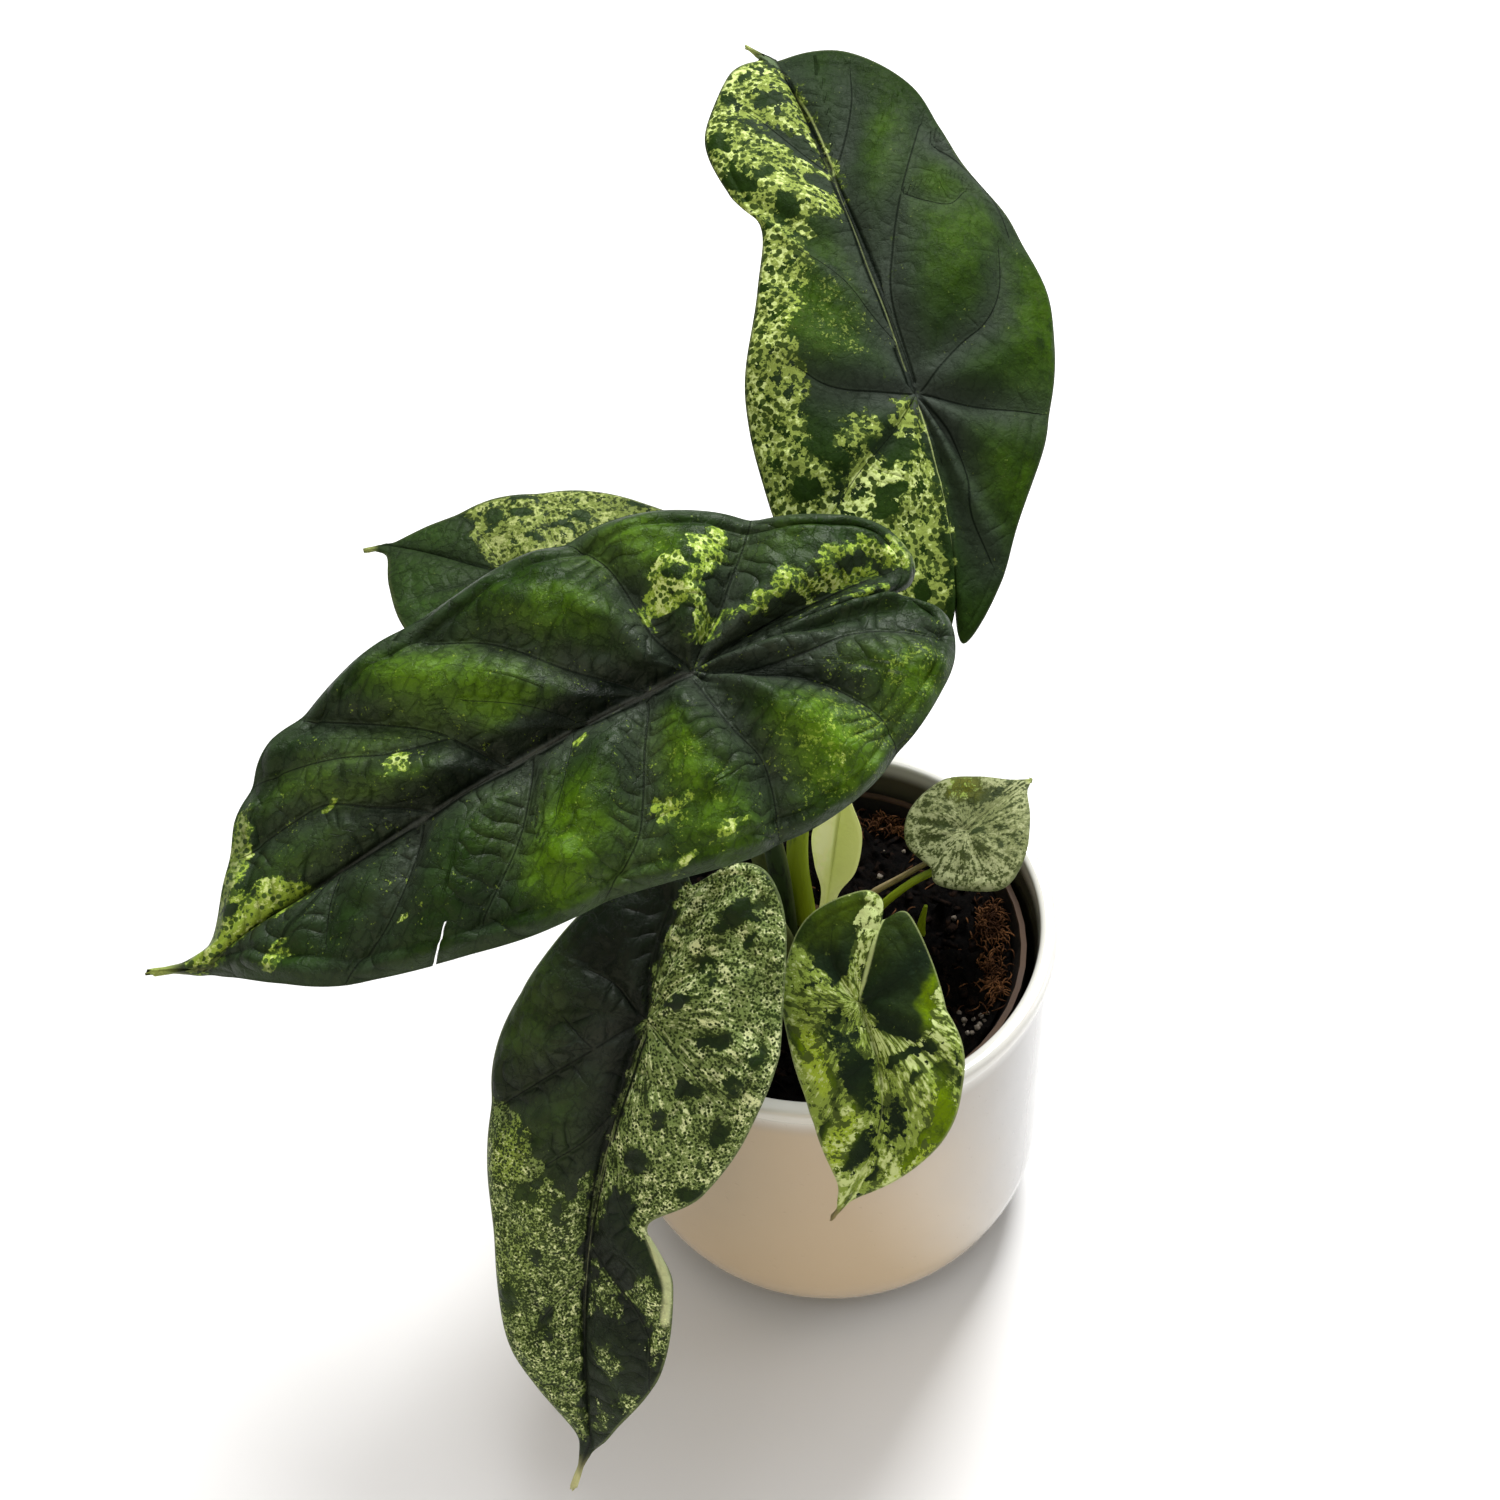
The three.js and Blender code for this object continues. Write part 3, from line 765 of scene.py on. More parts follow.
        tone = fine * 0.6 + middle * 0.4
        inward = 1.0 - radius.eased(0.2 * self.spread, self.spread)
        tone = tone + (streak - tone) * inward * self.rays
        tone = tone + (thread - tone) * (1.0 - reach.eased(1.0, 4.0)) * 0.45
        tone = tone - (1.0 - mint.clamped()) * 0.14
        low = 0.5 - (self.cover - 0.5) * 0.24
        pore = 1.0 - shader.cells(place, 1000.0 / (1.7 * self.grain)).eased(0.34, 0.46)
        tone = tone - pore * middle.eased(0.36, 0.5) * self.lace

        skin = shader.mix(edge.eased(0.32, 0.52) * self.haze, skin, self.half)
        tint = shader.mix(shader.value("glow").eased(0.8, 1.7) * 0.75, self.tint, self.lime)
        tinted = shader.mix(tone.eased(low, low + 0.035), self.half, tint)
        bright = tone + (broad - 0.5) * self.drift
        chalky = bright.eased(low + self.chalk, low + self.chalk + 0.06)
        tinted = shader.mix(chalky, tinted, self.pale)
        tinted = shader.mix(shader.value("under") * 0.5, tinted, self.under)
        share = edge.eased(0.47, 0.53) * tone.eased(low - 0.008, low + 0.012)
        skin = shader.mix(share, skin, tinted)
        speck = shader.noise(place, 1500.0, 3.0, 0.6) * 0.75 + shader.noise(place, 260.0, 3.0, 0.6) * 0.5
        fleck = (speck + shader.value("fleck") * 0.12).eased(0.8, 0.88)
        return shader.mix(fleck * 0.6, skin, self.tint)


@dataclass(frozen=True)
class StalkFinish:
    """A smooth fleshy stalk with fine streaks."""

    name: str
    body: Colour
    streak: Colour
    share: float = 0.5

    def material(self) -> bpy.types.Material:
        """Streaks drawn out along the stalk, on its own map.

        Returns:
            The material.
        """
        shader = Shader(self.name)
        place = shader.position()
        along = shader.vector("MULTIPLY", shader.map("length"), (7.0, 9.0, 0.0))
        streak = shader.noise(along, 1.0, 5.0, 0.7)
        blotch = shader.noise(place, 160.0, 4.0, 0.6)
        dark = (streak * 0.6 + blotch * 0.4).eased(0.58 - 0.14 * self.share, 0.66 - 0.14 * self.share)
        return shader.finish({
            "Base Color": shader.mix(dark, self.body, self.streak),
            "Roughness": 0.34 + blotch * 0.2,
            "Normal": shader.bump(streak + blotch * 0.4, 0.00035, 0.6),
        })


@dataclass(frozen=True)
class GlazeFinish:
    """A glossy off-white glaze over a cast body."""

    body: Colour = (0.76, 0.75, 0.7)
    # The wall below the lip is painted darker than the lip: painted shade.
    wall: Colour = (0.36, 0.352, 0.34)
    # A painted warm reflection towards the front and foot of the wall.
    warm_reflection: Colour = (0.63, 0.48, 0.29)
    # Painted shade inside the mouth of the pot.
    inner: Colour = (0.09, 0.083, 0.055)

    def material(self) -> bpy.types.Material:
        """Slow waves in the glaze, a few pinholes, and painted light: painted shade on the wall below
        the lip, a painted warm reflection towards the front and foot of the wall, and painted shade
        inside the mouth.

        Returns:
            The material.
        """
        shader = Shader("white_glaze")
        place = shader.position()
        drift = shader.noise(place, 9.0, 3.0)
        waves = shader.noise(place, 26.0, 2.0)
        fine = shader.noise(place, 420.0, 2.0)
        pits = 1.0 - shader.noise(place, 620.0, 0.0).eased(0.16, 0.21)
        front = place.part(1) * -14.0 + place.part(0) * -7.0
        height = place.part(2)
        # Painted warm reflection, stronger towards the front left and lower down.
        warmth = (front + (drift - 0.5) * 0.8).eased(0.1, 0.85)
        warmth = warmth * (1.0 - height.eased(0.098, 0.106))
        # Painted shade on the wall below the lip.
        skin = shader.mix(1.0 - height.eased(0.099, 0.106), self.body, self.wall)
        skin = shader.mix(warmth * (0.95 - height * 2.5), skin, self.warm_reflection)
        # Painted shade inside the mouth.
        radius = shader.length(shader.vector("MULTIPLY", place, (1.0, 1.0, 0.0)))
        within = (1.0 - radius.eased(0.0552, 0.0558)) * (1.0 - height.eased(0.104, 0.108))
        skin = shader.mix(within, skin, self.inner)
        return shader.finish({
            "Base Color": skin,
            "Roughness": 0.09 + fine * 0.05,
            "Normal": shader.bump(waves * 1.6 + fine * 0.03 - pits * 0.15, 0.0012, 0.35),
            "Coat Weight": 0.4,
            "Coat Roughness": 0.04,
        })


@dataclass(frozen=True)
class GroundFinish:
    """A rough natural surface of two colours with grains."""

    name: str
    dark: Colour
    light: Colour
    grain: float
    rough: float = 0.9
    depth: float = 0.0006

    def material(self) -> bpy.types.Material:
        """Grains of two sizes in colour and height.

        Returns:
            The material.
        """
        shader = Shader(self.name)
        place = shader.position()
        coarse = shader.noise(place, 1000.0 / (3.0 * self.grain), 4.0, 0.6)
        fine = shader.noise(place, 1000.0 / self.grain, 5.0, 0.7)
        share = (coarse * 0.5 + fine * 0.5).eased(0.44, 0.68)
        return shader.finish({
            "Base Color": shader.mix(share, self.dark, self.light),
            "Roughness": (self.rough - fine * 0.25).clamped(),
            "Normal": shader.bump(fine + coarse, self.depth, 1.0),
            "Specular IOR Level": 0.06,
        })


@dataclass(frozen=True)
class PlasticFinish:
    """Thin blow-moulded plastic, dusty with soil."""

    body: Colour = (0.01, 0.008, 0.007)
    dust: Colour = (0.05, 0.035, 0.024)
    rim: Colour = (0.085, 0.048, 0.028)

    def material(self) -> bpy.types.Material:
        """Matt moulded skin with dust that gathers in patches.

        Returns:
            The material.
        """
        shader = Shader("nursery_plastic")
        place = shader.position()
        patch = shader.noise(place, 70.0, 5.0, 0.65)
        skin = shader.noise(place, 900.0, 2.0)
        dusty = shader.mix(patch.eased(0.48, 0.72) * 0.7, self.body, self.dust)
        top = place.part(2).eased(0.0992, 0.0998)
        return shader.finish({
            "Base Color": shader.mix(top * (0.4 + patch * 0.8), dusty, self.rim),
            "Roughness": 0.5 + patch * 0.3,
            "Normal": shader.bump(skin, 0.0002, 0.5),
            "Specular IOR Level": 0.2,
        })


# Leaves


@dataclass(frozen=True)
class HalfForm:
    """One half of a blade: its slopes, its margin, and where its veins meet the margin."""

    fold: float
    curl: float
    margin: tuple[Place, ...]
    veins: tuple[float, ...]


@dataclass(frozen=True)
class StalkForm:
    """The path of a stalk from its foot, and its radius at both ends."""

    path: tuple[Point, ...]
    foot: float
    head: float


@dataclass(frozen=True)
class LeafForm:
    """How a leaf stands and bends, on the driving dimensions of its solid.

    Angles are in degrees, bends in degrees a millimetre. Stations are where each pair of veins
    leaves the midrib, ahead of the head of the stalk.
    """

    name: str
    at: Point
    heading: float
    pitch: float
    roll: float
    bend: float
    back: float
    sway: float
    tail: float
    length: float
    sinus: float
    tip: Place
    puff: float
    stations: tuple[float, ...]
    left: HalfForm
    right: HalfForm
    stalk: StalkForm | None = None


@dataclass(frozen=True)
class Patch:
    """A marbled place: its corners, along and out in turn, how full it is, and how soft its edge."""

    outline: tuple[float, ...]
    strength: float = 1.0
    soft: float = 2.5

    def share(self, along: Array, out: Array) -> Array:
        """How full the patch is at each place."""
        depth = inside_depth(self.outline, along, out)
        return self.strength * np.clip(0.5 + depth / (2 * self.soft), 0, 1)


@dataclass(frozen=True)
class Spot:
    """An oval: its centre, its half length and half width, its turn in degrees, and its strength."""

    along: float
    out: float
    long: float
    wide: float
    turn: float = 0.0
    strength: float = 1.0

    def share(self, along: Array, out: Array, soft: float) -> Array:
        """How far inside the oval places lie: 1 inside it, and 0 beyond its soft edge."""
        turn = np.radians(self.turn)
        x, y = along - self.along, out - self.out
        u = (x * np.cos(turn) + y * np.sin(turn)) / self.long
        v = (y * np.cos(turn) - x * np.sin(turn)) / self.wide
        return self.strength * (1.0 - smooth(np.hypot(u, v), 1.0 - soft, 1.0 + soft))


@dataclass(frozen=True)
class Line:
    """A vein or a pale line on the flat plan: its points, along and out in turn, and its size."""

    points: tuple[float, ...]
    size: float = 1.0

    def measure(self, places: Array) -> tuple[Array, Array, float]:
        """Signed distance and run of places along the line, and its length."""
        knots = np.array(self.points, float).reshape(-1, 2)
        line = through(knots, np.linspace(0.0, len(knots) - 1.0, 8 * len(knots)))
        gap, run = nearest(line, places)
        return gap, run, float(lengths(line)[-1])


@dataclass(frozen=True)
class Marking:
    """What lies on a blade: its veins, what colours it, and how strong its relief is.

    Flank is how far the painted shade and sheen beside the veins spread, and shades are spots of
    painted shade. A slit has the sign of its half, its place along the margin, and how far out from
    the midrib it starts.
    """

    veins: tuple[Line, ...] = ()
    patches: tuple[Patch, ...] = ()
    islands: tuple[Spot, ...] = ()
    holes: tuple[Spot, ...] = ()
    glows: tuple[Spot, ...] = ()
    lines: tuple[Line, ...] = ()
    flecks: tuple[Patch, ...] = ()
    shades: tuple[Spot, ...] = ()
    quilt: float = 1.0
    puff: float = 0.6
    roll: float = 0.35
    glow: float = 0.5
    rim_width: float = 0.8
    rim_strength: float = 0.7
    flank: float = 1.0
    slit: tuple[float, float, float] | None = None


@dataclass(frozen=True)
class Weave:
    """How fine the grid of a blade is: columns round each half, and rows out to the margin."""

    columns: int
    rows: int


@dataclass
class Blade:
    """One leaf blade: a plate over a folded form, with sunken veins and quilted panels."""

    form: LeafForm
    marking: Marking
    finish: BladeFinish
    weave: Weave
    seed: int

    def lay(self, along: Array, out: Array) -> tuple[Array, Array]:
        """Lays places of the flat plan over the bent form.

        The midrib bends evenly ahead of and behind the stalk, and sways sideways as half a sine
        ahead and a square behind. Each half rises from it at its fold and curls down along an arc.

        Args:
            along: Distance ahead of the head of the stalk.
            out: Distance out from the midrib, positive on the left.

        Returns:
            The points, and the normals of the upper side.
        """
        form = self.form
        heading, pitch, roll = np.radians([form.heading, form.pitch, form.roll])
        ahead = np.array(
            [np.cos(pitch) * np.cos(heading), np.cos(pitch) * np.sin(heading), np.sin(pitch)]
        )
        level = np.array([-np.sin(heading), np.cos(heading), 0.0])
        over = np.cross(ahead, level)
        side = level * np.cos(roll) + over * np.sin(roll)
        up = over * np.cos(roll) - level * np.sin(roll)

        rate = np.radians(np.where(along >= 0, form.bend, form.back))
        turn = rate * along
        sway = np.where(
            along >= 0,
            form.sway * np.sin(np.pi * np.clip(along / form.length, 0.0, 1.0)),
            form.tail * (along / form.sinus) ** 2,
        )
        crown = up * np.cos(turn)[..., None] + ahead * np.sin(turn)[..., None]
        left = out >= 0
        fold = np.radians(np.where(left, form.left.fold, form.right.fold))
        curl = np.radians(np.where(left, form.left.curl, form.right.curl))
        angle = fold - curl * np.abs(out)
        reach = np.sign(out) * (np.sin(fold) - np.sin(angle)) / curl
        rise = (np.cos(angle) - np.cos(fold)) / curl
        points = (
            np.array(form.at)
            + ahead * (np.sin(turn) / rate)[..., None]
            + up * ((np.cos(turn) - 1.0) / rate)[..., None]
            + side * (sway + reach)[..., None]
            + crown * rise[..., None]
        )
        normal = crown * np.cos(angle)[..., None] - side * (np.sign(out) * np.sin(angle))[..., None]
        fair = hump(out, 2.5)[..., None]
        normal = normal * (1.0 - fair) + crown * fair
        return points, normal / np.linalg.norm(normal, axis=-1, keepdims=True)

    def margin(self, half: HalfForm, sign: float) -> Array:
        """The margin of one half, from the notch round its lobe to the tip."""
        form = self.form
        neck = (
            0.65 * form.length + 0.35 * form.tip[0],
            0.35 * form.tip[1] + sign * NECK_HALF_WIDTH,
        )
        middle = [(along, sign * out) for along, out in half.margin]
        return np.array([(-form.sinus, 0.0), *middle, neck, form.tip], float)

    def spine(self, along: Array) -> Array:
        """How far the midrib lies out: nought, and a straight line past its end to the tip."""
        form = self.form
        past = np.maximum(along - form.length, 0.0)
        return form.tip[1] * past / (form.tip[0] - form.length)

    def steps(self) -> list[int]:
        """Columns in each panel, in proportion to the mean length of margin that it has."""
        form = self.form
        spans = []
        for half, sign in ((form.left, 1.0), (form.right, -1.0)):
            margin = self.margin(half, sign)
            places = np.array([0.0, *half.veins, len(margin) - 1.0])
            steps = np.linspace(0.0, places[-1], FINE_STEPS)
            spans.append(np.diff(np.interp(places, steps, lengths(through(margin, steps)))))
        mean = (spans[0] + spans[1]) / 2.0
        return [max(6, round(self.weave.columns * span / mean.sum())) for span in mean]

    def half(self, half: HalfForm, sign: float) -> dict[str, Array]:
        """Works out one half: its points, values and maps, as arrays of columns by rows.

        Columns run from the midrib to the margin, bowed back by a sine. Between two veins the
        panel rises as a sine across, and falls to nought at the midrib and at the margin.

        Args:
            half: The half's slopes and margin.
            sign: 1 on the left and -1 on the right.

        Returns:
            The arrays by name.
        """
        form, marking = self.form, self.marking
        margin = self.margin(half, sign)
        places = np.array([0.0, *half.veins, len(margin) - 1.0])
        stations = np.array([-form.sinus, *form.stations, form.tip[0]], float)
        counts = self.steps()
        panel = np.concatenate([np.full(count, i) for i, count in enumerate(counts)] + [[len(counts) - 1]])
        across = np.concatenate([np.arange(count) / count for count in counts] + [[1.0]])
        b = np.linspace(0.0, 1.0, self.weave.rows + 1)[None, :]
        inner = stations[panel] + (stations[panel + 1] - stations[panel]) * across
        place = places[panel] + (places[panel + 1] - places[panel]) * across
        if marking.slit is not None and marking.slit[0] == sign:
            column = np.searchsorted(place, marking.slit[1]) - 1
            place[[column, column + 1]] = marking.slit[1] + np.array([-0.004, 0.004])
        start = np.stack([inner, self.spine(inner)], -1)
        edge = through(margin, place)
        width = np.hypot(*(edge - start).T)
        bow = np.where(sign * edge[:, 1] > 0, VEIN_BOW * width, 0.0)
        along = start[:, :1] + (edge[:, :1] - start[:, :1]) * b - bow[:, None] * np.sin(np.pi * b)
        out = start[:, 1:] + (edge[:, 1:] - start[:, 1:]) * b
        a = across[:, None]
        size = np.minimum(1.0, width / FULL_PANEL)[:, None]
        edge_off = (1.0 - b) * width[:, None]
        body = np.sin(np.pi * b**0.8)
        quilt = marking.quilt
        veining = self.veining(along, out)
        reach, run = veining["reach"], veining["run"]

        height = marking.puff * form.puff * size * np.sin(np.pi * a) ** 2 * body
        height = height - quilt * size * (1.3 * hump(reach, 5.0) + 0.8 * hump(reach, 2.2) * veining["size"])
        cells = 0.34 * ripples(along, out, 11.0, self.seed + 1)
        cells = cells + 0.16 * ripples(along, out, 5.0, self.seed + 3)
        height = height + quilt * cells * smooth(reach, 1.0, 7.0) * smooth(edge_off, 0.0, 3.0)
        height = height + quilt * 0.6 * ripples(along, out, 30.0, self.seed + 2) * b

        roll = smooth(b, 0.3, 0.8) * size
        height = height - roll * marking.roll * 1.4 * (1.0 - smooth(edge_off, 0.0, 4.2)) ** 2
        height = height - roll * marking.roll * 0.8 * hump(edge_off - 4.8, 1.0)
        if marking.slit is not None and marking.slit[0] == sign:
            along = self.slit_apart(along, place, b)

        points, normal = self.lay(along, out)
        points = points + normal * height[..., None]
        rim = 1.0 - smooth(edge_off, 0.7 * marking.rim_width, marking.rim_width)
        first, last = (share * form.length + (1.0 - share) * form.tip[0] for share in (0.75, 0.2))
        return veining | {
            "points": points,
            "along": along,
            "out": out,
            "rim": marking.rim_strength * rim * roll,
            "spike": smooth(along, first, last),
            "edge": np.where(b > 0.5, edge_off, FAR),
            "veins": np.stack([run, reach], -1) / UV_SCALE,
            "fan": np.stack([np.abs(np.arctan2(out, along)) / np.pi, np.hypot(along, out) / UV_SCALE], -1),
            "cut": self.cut(sign, place, b, along.shape),
        }

    def veining(self, along: Array, out: Array) -> dict[str, Array]:
        """Finds the nearest vein of each place, among the midrib and the veins of the marking.

        Args:
            along: Places ahead of the stalk.
            out: Places out from the midrib.

        Returns:
            The distance to it, bare and signed by its side, how much farther the next vein lies,
            the place along it, its half width, its size, a groove from 0 to 1, and a wider mask of painted
            shade and sheen.
        """
        form = self.form
        scale = min(1.0, (form.length / 100.0) ** 0.5)
        flat = np.stack([along.ravel(), out.ravel()], -1)
        off = flat[:, 1] - self.spine(flat[:, 0])
        side = np.hypot(np.minimum(flat[:, 0], 0.0), off) * np.where(off < 0, -1.0, 1.0)
        second = np.full_like(side, LONE_VEIN)
        run = flat[:, 0] + form.sinus
        size = 1.0 - VEIN_TAPER * np.clip(flat[:, 0] / form.length, 0.0, 1.0)
        groove = size * hump(side, scale * size)
        # Painted shade and sheen beside the midrib, and below beside each vein.
        shade_and_sheen = size * hump(side, MIDRIB_SHADE * scale * self.marking.flank)
        breadth = MIDRIB * scale * size
        for number, vein in enumerate(self.marking.veins):
            gap, place, length = vein.measure(flat)
            taper = 1.0 - VEIN_TAPER * place / length
            strength = min(1.0, vein.size) * taper
            groove = np.maximum(groove, strength * hump(gap, 0.65 * scale * vein.size * taper))
            wide = VEIN_SHADE * scale * vein.size * self.marking.flank
            shade_and_sheen = np.maximum(shade_and_sheen, strength * hump(gap, wide))
            closer = np.abs(gap) < np.abs(side)
            second = np.where(closer, np.abs(side), np.minimum(second, np.abs(gap)))
            run = np.where(closer, place + VEIN_MAP_STEP * (number + 1), run)
            size = np.where(closer, strength, size)
            half_width = SIDE_VEIN * scale * vein.size * (1.0 - 0.5 * place / length)
            breadth = np.where(closer, half_width, breadth)
            side = np.where(closer, gap, side)
        found = {
            "reach": np.abs(side),
            "side": side,
            "apart": second - np.abs(side),
            "run": run,
            "breadth": np.maximum(breadth, 0.12),
            "size": size,
            "groove": groove,
            "shade_and_sheen": shade_and_sheen,
        }
        return {name: value.reshape(along.shape) for name, value in found.items()}

    def slit_apart(self, along: Array, place: Array, b: Array) -> Array:
        """Parts the blade on both sides of its slit, more and more towards the margin."""
        _, where, depth = self.marking.slit
        side = np.where(place < where, -1.0, 1.0)[:, None]
        near = hump((place - where)[:, None], 0.35)
        return along + side * near * SLIT_GAPE * smooth(b, depth, 1.1)

    def cut(self, sign: float, place: Array, b: Array, shape: tuple[int, int]) -> Array:
        """Marks the column strip that the slit opens."""
        if self.marking.slit is None or self.marking.slit[0] != sign:
            return np.zeros(shape)
        _, where, depth = self.marking.slit
        column = np.searchsorted(place, where) - 1
        chosen = (np.arange(len(place)) == column)[:, None]
        return (chosen & (b >= depth)).astype(float)

    def paint_over(self, along: Array, out: Array, reach: Array) -> dict[str, Array]:
        """The values that colour each place: marbling, flecks, glow and pale lines.

        Args:
            along: Places ahead of the stalk.
            out: Places out from the midrib.
            reach: Distances to the nearest vein.

        Returns:
            The values by name.
        """
        marking = self.marking
        true_place = np.stack([along, out], -1)
        sideways = ripples(along, out, 6.0, self.seed + 5) + 0.5 * ripples(along, out, 2.4, self.seed + 6)
        forward = ripples(along, out, 6.0, self.seed + 7) + 0.5 * ripples(along, out, 2.4, self.seed + 8)
        wander = WANDER * min(1.0, self.form.length / 80.0)
        along, out = along + wander * forward, out + wander * sideways

        def filled(patches: tuple[Patch, ...]) -> Array:
            """The strongest of some patches at each place."""
            value = np.zeros_like(along)
            for patch in patches:
                value = np.maximum(value, patch.share(along, out))
            return value

        mint = filled(marking.patches)
        for spot in marking.islands:
            mint = np.maximum(mint, spot.share(along, out, 0.5))
        for spot in marking.holes:
            mint = mint - 1.05 * spot.share(along, out, 0.7)
        glow = marking.glow * (1.0 - hump(reach, 6.0))
        for spot in marking.glows:
            glow = glow + spot.share(along, out, 0.75)
        line = np.zeros_like(along)
        for pale in marking.lines:
            gap = np.abs(pale.measure(true_place)[0])
            clear = smooth(gap, 0.4 * pale.size, 1.2 * pale.size)
            line = np.maximum(line, min(0.7, 0.25 + pale.size) * (1.0 - clear))
        # Spots of painted shade, which also take the glow away.
        painted_shade = np.zeros_like(along)
        for spot in marking.shades:
            painted_shade = np.maximum(painted_shade, spot.share(*true_place.T, 0.7))
        return {
            "mint": mint,
            "fleck": filled(marking.flecks),
            "glow": np.clip(glow, 0.0, 1.8) * (1.0 - painted_shade),
            "line": line,
            "painted_shade": painted_shade,
        }

    def shell(self) -> Shell:
        """Joins both halves and gives the blade its thickness.

        Returns:
            The closed plate, thinner towards the margin and thicker under its veins.
        """
        form = self.form
        halves = [self.half(form.left, 1.0), self.half(form.right, -1.0)]
        shape = halves[0]["along"].shape
        faces = grid_triangles(shape[0], shape[1], False)
        sheets = []
        for number, (part, flip) in enumerate(zip(halves, (True, False))):
            open_faces = part["cut"].ravel()[faces].min(axis=1) < 0.5
            strip = part["cut"].ravel()[faces[:, 0]] > 0.5
            kept = faces[open_faces & ~strip] if part["cut"].any() else faces
            kept = kept[:, ::-1] if flip else kept
            sheets.append(kept + number * shape[0] * shape[1])

        def joined(name: str) -> Array:
            """Both halves' array of that name, one row a point."""
            both = [part[name].reshape(shape[0] * shape[1], -1) for part in halves]
            return np.concatenate(both)

        points = joined("points")
        kept, triangles = weld(points, np.concatenate(sheets))
        points = points[kept]
        along, out = joined("along")[kept, 0], joined("out")[kept, 0]
        groove, edge = joined("groove")[kept, 0], joined("edge")[kept, 0]
        normal = point_normals(points, triangles)
        thin = 0.4 + 0.6 * smooth(edge, 0.0, 1.1)
        upper = points + normal * (0.5 * BLADE_THICKNESS * thin)[:, None]
        keel = KEEL * groove * smooth(edge, 0.0, 4.0)
        lower = points - normal * (0.5 * BLADE_THICKNESS * thin + keel)[:, None]
        values = self.paint_over(along, out, joined("veins")[kept, 1] * UV_SCALE)
        named = ("shade_and_sheen", "rim", "spike", "side", "breadth", "apart")
        values |= {name: joined(name)[kept, 0] for name in named}
        values = {name: np.concatenate([value, value]) for name, value in values.items()}
        values["under"] = np.concatenate([np.zeros(len(points)), np.ones(len(points))])
        maps = {name: np.tile(joined(name)[kept], (2, 1)) for name in ("veins", "fan")}
        return Shell(np.concatenate([upper, lower]), self.close(triangles, len(points)), values, maps)

    def close(self, triangles: Array, count: int) -> Array:
        """The upper sheet, the lower one turned over, and a wall along every open edge.

        Args:
            triangles: Triangles of the upper sheet.
            count: Number of points of the upper sheet.

        Returns:
            Triangles of the closed plate, whose lower points follow the upper ones.
        """
        edges = np.concatenate([triangles[:, [0, 1]], triangles[:, [1, 2]], triangles[:, [2, 0]]])
        forward = edges[:, 0] * count + edges[:, 1]
        backward = edges[:, 1] * count + edges[:, 0]
        a, b = edges[~np.isin(forward, backward)].T
        wall = np.concatenate([np.stack([a, a + count, b], -1), np.stack([b, a + count, b + count], -1)])
        return np.concatenate([triangles, triangles[:, ::-1] + count, wall])

    def head(self) -> Array:
        """Where the stalk ends, square under the blade."""
        place = np.zeros(2)
        points, normals = self.lay(place, np.array([1e-6, -1e-6]))
        down = -normals.sum(0) / np.linalg.norm(normals.sum(0))
        return points[0] + down * (0.5 * BLADE_THICKNESS + CLEARANCE + 0.9 + 2.1 * self.marking.quilt)

    def build(self, piece: str, node: str, slot: Slot) -> None:
        """Makes the blade, dresses it and lets it stand for its solid."""
        made = self.shell().make(piece)
        dress(made, self.finish.material(), node)


@dataclass
class Stalk:
    """A leaf's stalk, with a sheathing foot and a swelling where it meets the blade."""

    form: StalkForm
    finish: StalkFinish
    end: Array | None = None
    steps: int = 110
    sides: int = 28

    def build(self, piece: str, node: str | None) -> None:
        """Makes the stalk: its radius eases from foot to head, with faint knots and a collar.

        Args:
            piece: Name of the piece.
            node: The solid that it stands for, if it has one.
        """
        path = self.form.path if self.end is None else (*self.form.path, tuple(self.end))
        line = eased_path(path, self.steps)
        share = np.linspace(0.0, 1.0, len(line))
        radii = self.form.foot + (self.form.head - self.form.foot) * share
        knots = 1.0 + 0.03 * np.sin(9.0 * share + 1.0) + 0.02 * np.sin(31.0 * share)
        collar = 0.35 * self.form.head * smooth(share, 0.94, 1.0) if self.end is not None else 0.0
        made = tube(line, radii * knots + collar, self.sides).make(piece)
        dress(made, self.finish.material(), node)


def dress(
    made: bpy.types.Object, material: bpy.types.Material, node: str | None = None
) -> None:
    """Gives a piece its material, its body and the solid that it stands for.

    Args:
        made: The piece.
        material: Its material.
        node: The solid that it replaces, if any.
    """
    made.data.materials.clear()
    made.data.materials.append(material)
    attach(made, BODY)
    if node is not None:
        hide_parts(node)
    LOG.info("%s: %d triangles", made.name, len(made.data.polygons))


# The plant's own leaves

TALL = LeafForm(
    name="tall_leaf", at=(29, 50, 234), heading=105, pitch=33, roll=0, bend=0.25, back=0.25, sway=0, tail=5,
    length=102, sinus=48, tip=(108, 6), puff=2.6, stations=(0, 0, 0, 8, 33, 57),
    left=HalfForm(
        20, 1.4,
        (
            (-58, 5), (-49, 23), (-30, 37), (-10, 41), (10, 39), (34, 28), (49, 22), (61, 26), (79, 26),
            (97, 14),
        ),
        (1.4, 3, 4.9, 6.3, 8, 9.3),
    ),
    right=HalfForm(
        16, 1, ((-58, 2), (-47, 11), (-34, 17), (-12, 30), (13, 40), (38, 39), (59, 32), (82, 28), (98, 17)),
        (1.5, 2.9, 4.2, 5.3, 7, 8.5),
    ),
    stalk=StalkForm(((-4, 5, 102), (-5, 6, 130), (-1, 11, 158), (12, 32, 196), (26, 55, 219)), 2.9, 1.8),
)

